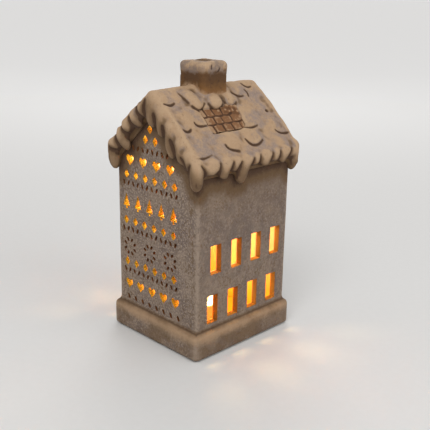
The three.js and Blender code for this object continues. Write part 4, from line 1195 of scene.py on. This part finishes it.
def hung_lobes(bm):
    """The lobes that hang over the gable ends and the eaves, and the drops at the corners.

    The right slope's lobes hang over both slopes of the rear gable."""
    across = -CAD_END + (LOBE_DEEP + 0.4) * MM
    for x, z, wide, high, lean in GABLE_LOBES:
        radii = (wide, LOBE_DEEP, high)
        ball(bm, (x * MM, across, z * MM), Matrix.Rotation(lean, 4, "Y"), radii, (0,))
        for side in (1, -1) if x > 0 else ():
            turn = Matrix.Rotation(side * lean, 4, "Y")
            ball(bm, (side * x * MM, -across, z * MM), turn, radii, (0,))
    for y, z, wide, high, lean in EAVE_LOBES:
        centre = (SNOW_EDGE - (LOBE_DEEP + 0.1) * MM, y * MM, z * MM)
        ball(bm, centre, Matrix.Rotation(lean, 4, "X"), (LOBE_DEEP, wide, high))
    for side in (1, -1):
        centre = (side * (SNOW_EDGE - DROP_R * MM), -CAD_END + DROP_R * MM, DROP_Z * MM)
        ball(bm, centre, Matrix.Identity(4), (DROP_R, DROP_R, DROP_H))


def rounded_corners(co):
    """Draws the snow at the four corners in to the radius of their drops."""
    sign = np.where(co < 0, -1.0, 1.0)
    x = np.abs(co[:, 0]) - (SNOW_EDGE - DROP_R * MM)
    y = np.abs(co[:, 1]) - (CAD_END - DROP_R * MM)
    away = np.hypot(x, y)
    corner = (x > 0) & (y > 0) & (away > DROP_R * MM)
    draw = np.where(corner, 1 - DROP_R * MM / np.maximum(away, MM), 0)
    co[:, 0] -= sign[:, 0] * x * draw
    co[:, 1] -= sign[:, 1] * y * draw
    return co


def overhang(co):
    """How much painted shade each point gets for lying behind the lobes, and for hanging low on a lobe."""
    x, y = np.abs(co[:, 0]), np.abs(co[:, 1])
    out = slope_terms(co)[2]
    gable, eave = y > HALF_L + 0.5 * MM, x > HALF_W + 0.5 * MM
    behind = np.where(gable, (CAD_END - y) / MM, np.inf)
    behind = np.where(eave, np.minimum(behind, (SNOW_EDGE - x) / MM), behind)
    # Painted shade on the snow behind the lobes, and darker towards the lobes' lower ends
    recess_shade = limited((behind - 2) / 2) * limited((-out - 4) / 3) * limited((out + 15) / 3)
    hang_shade = np.where(eave, 0.68, np.where(gable, 0.44, 0)) * limited((-out - 1.5) / 9)
    return np.where(gable | eave, recess_shade, 0), hang_shade


def swollen(bm, amount):
    """Pushes every vertex out along its normal, which closes the seams between pieces."""
    bm.normal_update()
    for vert, shift in [(v, v.normal * amount) for v in bm.verts]:
        vert.co += shift


def chimney_seat(out, lift):
    """Snow that fills the chimney's opening out to a distance from its sides and climbs up them."""
    half = STACK_HIGH.x + out * MM
    rise = lift * MM
    top = SNOW_APEX - half * TAN + rise
    flat = RIDGE_ROUND * SIN
    outline = [
        (-half, top),
        (-half, top - SEAT_DEEP),
        (0, SNOW_APEX - SEAT_DEEP),
        (half, top - SEAT_DEEP),
        (half, top),
        (flat, SNOW_APEX - flat * TAN + rise),
        (-flat, SNOW_APEX - flat * TAN + rise),
    ]
    return prism(outline, -half, half)


def chevron(half, end, under):
    """Both slabs of the roof out to a half width and a half length, down to an apex underneath."""
    top = SLAB_HIGH.z
    outline = [
        (0, top),
        (half, top - half * TAN),
        (half, under - half * TAN),
        (0, under),
        (-half, under - half * TAN),
        (-half, top - half * TAN),
    ]
    return prism(outline, -end, end)


def rake_band(side, front):
    """Snow along one slope of both gable ends, out to a distance from the walls."""
    reach = SNOW_EDGE - 7 * MM
    top, bottom = SNOW_APEX - 2 * MM / COS, SNOW_APEX - OVERHANG_DEEP / COS
    outline = [
        (0, top),
        (side * reach, top - reach * TAN),
        (side * reach, bottom - reach * TAN),
        (0, bottom),
    ]
    bm = prism(outline, -HALF_L - front, -SNOW_END)
    added(bm, prism([(-x, z) for x, z in outline], SNOW_END, HALF_L + front))
    return bm


def eave_band():
    """Snow behind the lobes of both eaves, over the edges of the slabs."""
    low = SNOW_APEX - OVERHANG_DEEP / COS - SLAB_HIGH.x * TAN
    high = SNOW_APEX - 5 * MM - SNOW_EDGE * TAN
    near, far = SLAB_HIGH.x - MM, SLAB_HIGH.x + 2.2 * MM
    bm = block((near, -SNOW_END, low), (far, SNOW_END, high))
    added(bm, block((-far, -SNOW_END, low), (-near, SNOW_END, high)))
    return bm


def upper(co):
    """1 for points on top of the roof, 0 for points that lie deep under the snow."""
    return limited(slope_terms(co)[2] / 2 + 5)


def eased_snow(mesh):
    """Smooths the ends of the ridge, the top of the snow, and the snow at the chimney's front and rear."""
    co = points(mesh)
    x, y = np.abs(co[:, 0]), np.abs(co[:, 1])
    from_ridge_end = np.linalg.norm((x, y - HALF_L, co[:, 2] - RIDGE_Z), axis=0)
    from_stack = np.abs(y - STACK_HIGH.x - 2 * MM)
    eased(mesh, limited(1.8 - from_ridge_end / (12 * MM)), 120)
    eased(mesh, upper(co), 10)
    eased(mesh, limited(1 - from_stack / (6 * MM)) * limited(3.5 - x / (4 * MM)), 60)


def marked_snow(mesh, form):
    """Presses the grooves and clefts into the snow, and keeps where it is brown with oxide and painted
    shade, and where it is rubbed.
    """
    co = points(mesh)
    marks, clefts, cleft_shade = groove_marks(co), cleft_marks(co, CLEFT_W), cleft_marks(co, CLEFT_SHADE_W)
    pushed(mesh, -marks * form.groove - clefts * form.cleft)
    swell = hollows(mesh, 60)
    dents = limited(hollows(mesh, 14) / (0.5 * MM)) + 0.4 * limited(swell / (1.5 * MM))
    recess_shade, hang_shade = overhang(co)
    # Oxide in hollows, grooves and clefts, with painted shade round the clefts, behind the lobes and low on
    # them
    brown = 0.8 * dents + marks + 0.6 * clefts + 0.5 * cleft_shade + 0.9 * recess_shade + hang_shade
    painted(mesh, "wash_and_shade", limited(brown))
    painted(mesh, "crest", limited(-swell / (0.9 * MM)))


class CHRISTMAS_OT_snow_roof(bpy.types.Operator):
    """Builds the fused snow roof with its clumps, grooves and icicles"""

    bl_idname = "christmas_house.snow_roof"
    bl_label = "Snow roof"

    def execute(self, context):
        form = context.scene.house_form
        bm = copies(*SNOW_NODES)
        swollen(bm, SEAM_SWELL)
        for part in (
            chevron(HALF_W + 0.4 * MM, HALF_L + 0.4 * MM, SLAB_UNDER),
            chevron(SLAB_HIGH.x, SNOW_END - 0.3 * MM, SNOW_APEX - OVERHANG_DEEP / COS),
            *(chimney_seat(out, lift) for out, lift in CHIMNEY_SEATS),
            eave_band(),
            rake_band(1, 6.0 * MM),
            rake_band(-1, 3.4 * MM),
        ):
            added(bm, part)
        hung_lobes(bm)
        lie = Matrix.Rotation(PITCH, 4, "Y")
        for down, along, long, wide, high, turn in BALLS:
            lean = lie @ Matrix.Rotation(turn, 4, "Z")
            ball(bm, on_slope(down, along, -0.3), lean, (long, wide, high))
        roof = softened(made("snow_roof", bm), form.snow_grid, 1)
        filled(roof, form.snow_grid, form.fill, form.snow_rounds)
        eased_snow(roof.data)
        co = points(roof.data)
        press = waves(co, ((13 * MM, form.snow_wave), (4.5 * MM, 0.4 * form.snow_wave)), SNOW_SEED)
        pushed(roof.data, press * upper(co))
        cut(roof, made("flue_cutter", drum((0, 0, SNOW_APEX - 10 * MM), FLUE_R, FLUE_R, 60 * MM)))
        marked_snow(roof.data, form)
        thinned(roof, KEPT_SNOW)
        put_points(roof.data, rounded_corners(points(roof.data)))
        kept_in_box(roof.data)
        shaded(roof, math.radians(60))
        finish = snow_finish(context.scene.house_look)
        placed(roof, "roof", "snow_clay", finish, *SLAB_NODES, *SNOW_NODES)
        return {"FINISHED"}


# Tiles

# Crumbs of snow on the bare tiles: place down the slope and along the ridge, and radius
CRUMBS = (
    (27.4, 6.4, 2.1),
    (29.0, 10.6, 2.0),
    (30.0, 14.6, 2.3),
    (31.6, 2.2, 1.5),
    (33.0, 5.4, 1.6),
    (32.6, 9.4, 1.9),
    (34.0, 14.2, 1.8),
    (31.6, -6.2, 1.4),
)
# Rows of the bare tiles: top and bottom down the slope, and the joints along it
TILE_ROWS = (
    (26.0, 35.4, (-25.2, -20.2, -11.0, -1.6, 7.5)),
    (35.4, 43.2, (-24.4, -14.4, -5.5, 4.8, 14.6)),
    (43.2, 51.4, (-19.8, -9.2, 0.9, 10.4, 19.0)),
)
TILE_MIDDLE = (TILES_LOW.y + TILES_HIGH.y) / (2 * MM)
TILE_GRID = 0.42 * MM
TILE_WAVES = ((7 * MM, 0.5 * MM), (2.2 * MM, 0.22 * MM))
TILE_FILL = 0.8 * MM
# Width in millimetres, and depth
JOINT_W = 0.75
JOINT_DEEP = 0.8 * MM


def tile_joints():
    """Curves of the joints beside the tiles and under their sagging feet."""
    for top, bottom, joints in TILE_ROWS:
        for along, after in zip(joints, joints[1:]):
            middle = (along + after) / 2
            yield (along, top), (along - 0.4, (top + bottom) / 2), (along, bottom), 1.0
            yield (along, bottom - 0.6), (middle, bottom + 0.5), (after, bottom - 0.6), 1.0


class CHRISTMAS_OT_tiles(bpy.types.Operator):
    """Builds the bare tiles of both slopes, with worn edges"""

    bl_idname = "christmas_house.tiles"
    bl_label = "Bare tiles"

    def execute(self, context):
        finish = tile_finish(context.scene.house_look)
        lie = Matrix.Rotation(PITCH, 4, "Y")
        for turn, (side, seed) in enumerate(zip(SIDES, (21, 22))):
            node = f"roof_tiles_{side}"
            bm = copies(node)
            for down, along, size in CRUMBS:
                ball(bm, on_slope(down, along, -0.8), lie, (size, 1.1 * size, 0.8 * size), (turn,))
            tiles = softened(made(f"bare_tiles_{side}", bm), TILE_GRID, 2)
            filled(tiles, TILE_GRID, TILE_FILL, 3)
            waved(tiles, TILE_WAVES, seed)
            mesh = tiles.data
            along, down, _ = slope_terms(points(mesh))
            joints = line_marks(along, down, tile_joints(), JOINT_W)
            pushed(mesh, -joints * JOINT_DEEP)
            dents = limited(hollows(mesh, 14) / (0.3 * MM))
            dust = limited((np.abs(along - TILE_MIDDLE) - 13) / 8)
            painted(mesh, "wash_and_shade", limited(0.5 * dents + joints))
            # Crest: dust on the patch's sides, and raised edges that get a painted highlight
            painted(mesh, "crest", limited(0.8 * dust - hollows(mesh, 40) / (0.5 * MM)))
            shaded(tiles, math.radians(60))
            placed(tiles, "roof", "tile_clay", finish, node)
        return {"FINISHED"}


# Chimney

# Clefts of the lobe on the cap's right side: three points along the ridge and up from the cap's foot in
# millimetres, and strength
CAP_CLEFTS = (
    ((-4.8, 9.4), (-5.7, 7.4), (-5.2, 5.6), 0.7),
    ((0.0, 2.8), (2.8, 3.8), (4.4, 6.8), 0.7),
)
# The chimney stands a little off the middle, and stack and cap share their waves
CHIMNEY_SHIFT = Vector((-1, -1, 0)) * MM
CHIMNEY_WAVES = ((11 * MM, 0.6 * MM), (4 * MM, 0.3 * MM))
CHIMNEY_SEED = 6.6


class CHRISTMAS_OT_chimney(bpy.types.Operator):
    """Builds the chimney stack and its cap of snow"""

    bl_idname = "christmas_house.chimney"
    bl_label = "Chimney"

    def execute(self, context):
        look, form = context.scene.house_look, context.scene.house_form
        bm = copies("chimney_stack")
        widen = (CAP_HIGH.x - 0.5 * MM) / STACK_HIGH.x
        bmesh.ops.scale(bm, verts=bm.verts, vec=(widen, widen, 1))
        bmesh.ops.translate(bm, verts=bm.verts, vec=CHIMNEY_SHIFT)
        stack = softened(made("chimney_clay", bm), 0.7 * MM, 6)
        waved(stack, CHIMNEY_WAVES, CHIMNEY_SEED)
        shaded(stack, math.radians(60))
        placed(stack, "roof", "stack_clay", stack_finish(look), "chimney_stack")

        foot = STACK_HIGH.z - 4 * MM
        bm = rounded_block((CAP_LOW.x, CAP_LOW.y, foot), CAP_HIGH, 5 * MM, 4.4 * MM)
        taper = (CAP_HIGH.x - 0.7 * MM) / CAP_HIGH.x
        lowest = [v for v in bm.verts if v.co.z < foot + 0.1 * MM]
        bmesh.ops.scale(bm, verts=lowest, vec=(taper, taper, 1))
        lobe = (CAP_HIGH.x - 1.6 * MM, -0.6 * MM, STACK_HIGH.z + 6.2 * MM)
        ball(bm, lobe, Matrix.Identity(4), (1.8, 4.6, 4.2), (0,))
        bmesh.ops.translate(bm, verts=bm.verts, vec=CHIMNEY_SHIFT)
        cap = softened(made("chimney_snow", bm), 0.6 * MM, 8)
        waved(cap, CHIMNEY_WAVES, CHIMNEY_SEED)
        mouth = Vector((0, 0, CAP_HIGH.z)) + CHIMNEY_SHIFT
        cut(cap, made("cap_bore", drum(mouth, FLUE_R, FLUE_R + 0.4 * MM, 40 * MM)))
        mesh = cap.data
        co = points(mesh)
        along, up = (co[:, 1] - CHIMNEY_SHIFT.y) / MM, (co[:, 2] - STACK_HIGH.z) / MM
        marks = np.where(co[:, 0] > 0.5 * CAP_HIGH.x, line_marks(along, up, CAP_CLEFTS, 0.8), 0)
        pushed(mesh, -marks * form.groove)
        dents = limited(hollows(mesh, 14) / (0.5 * MM))
        painted(mesh, "wash_and_shade", limited(0.5 * dents + 0.8 * marks))
        painted(mesh, "crest", limited(-hollows(mesh, 60) / (0.9 * MM)))
        kept_in_box(mesh)
        shaded(cap, math.radians(60))
        placed(cap, "roof", "snow_clay", cap_finish(look), "chimney_snow_cap")
        return {"FINISHED"}


# Felts and tealight

FELT_ROUND = 0.3 * MM
FELT_RING = 1.6 * MM
FELT_WAVES = ((1.5 * MM, 0.22 * MM),)
# The tealight's wall, the dish in its top and the radius of the flame's hole, in millimetres
SHELL_WALL = 1.2
SHELL_DIP = 2.2
SHELL_HOLE = 6.3
# Outline of the flame: radius in millimetres, and height as a share of the whole
LENS_BORE_R = 2.9
LENS_FLANGE_T = 1.0
LENS_FOOT_R = 6.0
FLAME = (
    (LENS_FOOT_R, 0.12),
    (6.55, 0.24),
    (6.65, 0.32),
    (6.35, 0.42),
    (5.6, 0.54),
    (4.3, 0.67),
    (2.9, 0.79),
    (1.7, 0.89),
    (0.8, 0.96),
    (0.0, 1.0),
)


class CHRISTMAS_OT_felts(bpy.types.Operator):
    """Builds the felt pads under the corners"""

    bl_idname = "christmas_house.felts"
    bl_label = "Felt pads"

    def execute(self, context):
        finish = felt_finish(context.scene.house_look)
        for seed, corner in enumerate(CORNERS, 30):
            node = f"felt_{corner}"
            low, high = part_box(node)
            middle = (low + high) / 2
            radius = (high.x - low.x) / 2
            bm = drum(middle, radius, radius, high.z - low.z, 48)
            rims = [e for e in bm.edges if abs(e.verts[0].co.z - e.verts[1].co.z) < 0.1 * MM]
            rounded(bm, rims, FELT_ROUND, 2)
            caps = [f for f in bm.faces if len(f.verts) > 8]
            for _ in range(3):
                bmesh.ops.inset_region(bm, faces=caps, thickness=FELT_RING, use_even_offset=True)
                caps = [f for f in caps if f.is_valid]
            pad = made(f"felt_pad_{corner}", bm)
            co = points(pad.data)
            push = np.minimum(waves(co, FELT_WAVES, seed), 0)
            out = (co - np.array(middle)) * np.array((1, 1, 0))
            out /= np.maximum(np.linalg.norm(out, axis=1), MM)[:, None]
            put_points(pad.data, co + out * push[:, None])
            shaded(pad, math.radians(50))
            placed(pad, "house", "felt", finish, node)
        return {"FINISHED"}


def spun(profile, steps):
    """A closed profile of radius and height, in millimetres, turned about Z."""
    bm = bmesh.new()
    verts = [bm.verts.new((radius * MM, 0, z * MM)) for radius, z in profile]
    edges = [bm.edges.new(pair) for pair in zip(verts, verts[1:])]
    bmesh.ops.spin(
        bm, geom=[*verts, *edges], cent=(0, 0, 0), axis=(0, 0, 1), angle=2 * math.pi, steps=steps,
        use_merge=True,
    )
    bmesh.ops.remove_doubles(bm, verts=bm.verts, dist=5 * JOIN)
    bmesh.ops.recalc_face_normals(bm, faces=bm.faces)
    return bm


def shell_profile(low, high):
    """The tealight's shell between two heights, with a band at its foot and its rim, and a dished top."""
    radius, base, rim = high.x, low.z, high.z
    inner, dish = radius - SHELL_WALL, rim - SHELL_DIP
    return (
        (inner, base),
        (inner + 0.3, base),
        (radius - 0.3, base),
        (radius, base + 0.3),
        (radius, base + 2.4),
        (radius - 0.35, base + 2.8),
        (radius - 0.35, rim - 3.2),
        (radius, rim - 2.7),
        (radius, rim - 0.6),
        (radius - 0.25, rim - 0.15),
        (radius - 0.6, rim),
        (inner - 0.1, rim - 0.15),
        (inner - 0.8, rim - 1.1),
        (inner - SHELL_DIP, dish + 0.15),
        (inner - SHELL_DIP - 2.0, dish),
        (SHELL_HOLE + 0.6, dish),
        (SHELL_HOLE, dish - 0.3),
        (SHELL_HOLE, dish - SHELL_WALL),
        (inner - 0.4, dish - SHELL_WALL),
        (inner, dish - SHELL_WALL - 0.4),
        (inner, base),
    )


def flame_solid(low, high):
    """The hollow plastic flame on its flange."""
    foot, tall = low.z, high.z - low.z
    profile = [
        (LENS_BORE_R, foot),
        (high.x, foot),
        (high.x, foot + LENS_FLANGE_T),
        (LENS_FOOT_R, foot + LENS_FLANGE_T),
        *((radius, foot + share * tall) for radius, share in FLAME),
    ]
    bm = spun(profile, 48)
    bmesh.ops.extrude_edge_only(bm, edges=[e for e in bm.edges if e.is_boundary])
    for vert in {v for e in bm.edges if e.is_boundary for v in e.verts}:
        vert.co.z += 0.40 * tall * MM
    bmesh.ops.holes_fill(bm, edges=[e for e in bm.edges if e.is_boundary], sides=0)
    bmesh.ops.recalc_face_normals(bm, faces=bm.faces)
    return bm


def dressed(node, finish):
    """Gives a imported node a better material."""
    for slot in NODES[node].material_slots:
        slot.material = finish


def lamp(kind, name, place, power):
    """A new lamp of some kind, as an object."""
    data = bpy.data.lights.new(name, kind)
    data.energy = power
    light = bpy.data.objects.new(name, data)
    light.location = place
    bpy.context.scene.collection.objects.link(light)
    return light


class CHRISTMAS_OT_tealight(bpy.types.Operator):
    """Builds the tealight's shell and flame, and finishes its small parts"""

    bl_idname = "christmas_house.tealight"
    bl_label = "Tealight"

    def execute(self, context):
        look = context.scene.house_look
        plastic, steel = plastic_finish(look), steel_finish()
        profile = shell_profile(*(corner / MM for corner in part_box("tealight_housing")))
        shell = shaded(made("tealight_shell", spun(profile, 72)), math.radians(35))
        placed(shell, "tealight", "white_plastic", plastic, "tealight_housing")
        low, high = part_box("flame_lens")
        tall = high.z - low.z
        flame = made("plastic_flame", flame_solid(low / MM, high / MM))
        co = points(flame.data)
        lift = limited((co[:, 2] - low.z) / tall - 0.3)
        co[:, 0] += 0.9 * MM * np.sin(lift * 4.0) * lift
        put_points(flame.data, co)
        shaded(flame, math.radians(40))
        placed(flame, "tealight", "flame_plastic", flame_finish(look), "flame_lens")
        for node in ("bottom_cap", "battery_door", "switch_knob"):
            dressed(node, plastic)
        for node in ("coin_cell", "negative_contact", "positive_contact", "door_screw"):
            dressed(node, steel)
        dressed("led", resin_finish())
        for clear in (flame, NODES["led"]):
            clear.visible_shadow = False
        lights = (
            ("flame_light", "tealight", low.z + 0.6 * tall, 4 * MM, 0.6),
            ("roof_light", "house", EAVES_Z, 15 * MM, 2.3),
        )
        for name, body, height, size, share in lights:
            light = lamp("POINT", name, (0, 0, height), share * look.glow_power)
            light.data.color = look.glow
            light.data.shadow_soft_size = size
            light.parent = frame["bodies"][body]
        return {"FINISHED"}


# Stage

CAMERA_AZIMUTH = math.radians(45.03)
CAMERA_ELEVATION = math.radians(17.38)
CAMERA_ROLL = math.radians(1.065)
CAMERA_AWAY = 730.96 * MM
CAMERA_TARGET = Vector((-55.52 * MM, 70.22 * MM, 75.98 * MM))
CAMERA_LENS = 60.44
# Soft lamps: name, place, diameter and power
LAMPS = (
    ("key", (0.55, -1.0, 1.35), 0.9, 9.0),
    ("fill", (1.3, 0.2, 0.9), 1.0, 4.5),
    ("rear", (-0.9, 0.9, 1.1), 0.9, 5.0),
)
LAMP_AIM = Vector((0, 0, 110 * MM))
FLOOR_R = 30


def floor_finish():
    """Pale paper that fades into the backdrop far from the house."""
    finish = Finish("floor_paper", Emission_Strength=1)
    x, y, _ = finish.axes()
    away = finish.ramp((x * x + y * y) ** 0.5, 250.0, 2200.0)
    haze = finish.blend(away, (0, 0, 0), (0.30, 0.30, 0.30))
    finish.fill(finish.shader.inputs["Emission Color"], haze)
    grain = finish.speck(6.0, 2, 0.5)
    tone = finish.blend(grain, (0.76, 0.755, 0.745), (0.79, 0.785, 0.775))
    return finish.surface(tone, 0.8 + grain * 0.1, grain, 0.05, 0.2)


def studio_world():
    """A soft grey sky that the camera, reflections and clear plastic see as a paler backdrop."""
    world = bpy.data.worlds.new("studio")
    world.use_nodes = True
    sky = Nodes(world.node_tree)
    kinds = ("Camera", "Glossy", "Transmission")
    direct, glossy, passed = (sky.node("ShaderNodeLightPath", {}, {}, f"Is {kind} Ray") for kind in kinds)
    seen = direct.most(glossy).most(passed)
    backdrop = sky.blend(seen, (0.50, 0.495, 0.49), (0.735, 0.728, 0.720))
    sky.fill(world.node_tree.nodes["Background"].inputs["Color"], backdrop)
    return world


def photo_camera():
    """A camera at the photograph's viewing angle."""
    camera = bpy.data.objects.new("camera", bpy.data.cameras.new("camera"))
    camera.data.sensor_width = 36
    camera.data.lens = CAMERA_LENS
    camera.data.clip_start = 0.01
    camera.data.clip_end = 100
    az, el = CAMERA_AZIMUTH, CAMERA_ELEVATION
    back = Vector((math.sin(az) * math.cos(el), -math.cos(az) * math.cos(el), math.sin(el)))
    level = Vector((math.cos(az), math.sin(az), 0))
    rise = back.cross(level)
    right = level * math.cos(CAMERA_ROLL) + rise * math.sin(CAMERA_ROLL)
    up = rise * math.cos(CAMERA_ROLL) - level * math.sin(CAMERA_ROLL)
    turn = Matrix((right, up, back)).transposed()
    camera.matrix_world = Matrix.LocRotScale(CAMERA_TARGET + back * CAMERA_AWAY, turn, None)
    return camera


class CHRISTMAS_OT_stage(bpy.types.Operator):
    """Sets the pale floor, the soft light and the camera"""

    bl_idname = "christmas_house.stage"
    bl_label = "Stage"

    def execute(self, context):
        scene = context.scene
        scene.view_settings.view_transform = "Standard"
        bm = bmesh.new()
        bmesh.ops.create_circle(bm, cap_ends=True, segments=96, radius=FLOOR_R)
        floor = made("floor", bm)
        floor.data.materials.append(floor_finish())
        scene.world = studio_world()
        for name, place, size, power in LAMPS:
            light = lamp("AREA", name, place, power)
            light.data.shape = "DISK"
            light.data.size = size
            light.rotation_mode = "QUATERNION"
            light.rotation_quaternion = (LAMP_AIM - Vector(place)).to_track_quat("-Z", "Y")
        scene.camera = photo_camera()
        scene.collection.objects.link(scene.camera)
        return {"FINISHED"}


class CHRISTMAS_PT_panel(bpy.types.Panel):
    """Lists the pieces and the settings of the house"""

    bl_idname = "CHRISTMAS_PT_panel"
    bl_label = "Ceramic Christmas house"
    bl_space_type = "VIEW_3D"
    bl_region_type = "UI"
    bl_category = "Clay house"

    def draw(self, context):
        for operator in OPERATORS:
            self.layout.operator(operator.bl_idname)
        for group in (context.scene.house_form, context.scene.house_look):
            box = self.layout.box()
            for name in group.__annotations__:
                box.prop(group, name)


OPERATORS = (
    CHRISTMAS_OT_snow_roof,
    CHRISTMAS_OT_walls,
    CHRISTMAS_OT_tiles,
    CHRISTMAS_OT_chimney,
    CHRISTMAS_OT_felts,
    CHRISTMAS_OT_tealight,
    CHRISTMAS_OT_stage,
)
CLASSES = (HouseForm, HouseLook, *OPERATORS, CHRISTMAS_PT_panel)


def register():
    for cls in CLASSES:
        bpy.utils.register_class(cls)
    bpy.types.Scene.house_form = PointerProperty(type=HouseForm)
    bpy.types.Scene.house_look = PointerProperty(type=HouseLook)


def unregister():
    del bpy.types.Scene.house_look
    del bpy.types.Scene.house_form
    for cls in reversed(CLASSES):
        bpy.utils.unregister_class(cls)


def main():
    register()
    bpy.ops.christmas_house.snow_roof()
    bpy.ops.christmas_house.walls()
    bpy.ops.christmas_house.tiles()
    bpy.ops.christmas_house.chimney()
    bpy.ops.christmas_house.felts()
    bpy.ops.christmas_house.tealight()
    bpy.ops.christmas_house.stage()
    bpy.context.view_layer.update()


if __name__ == "__main__":
    main()
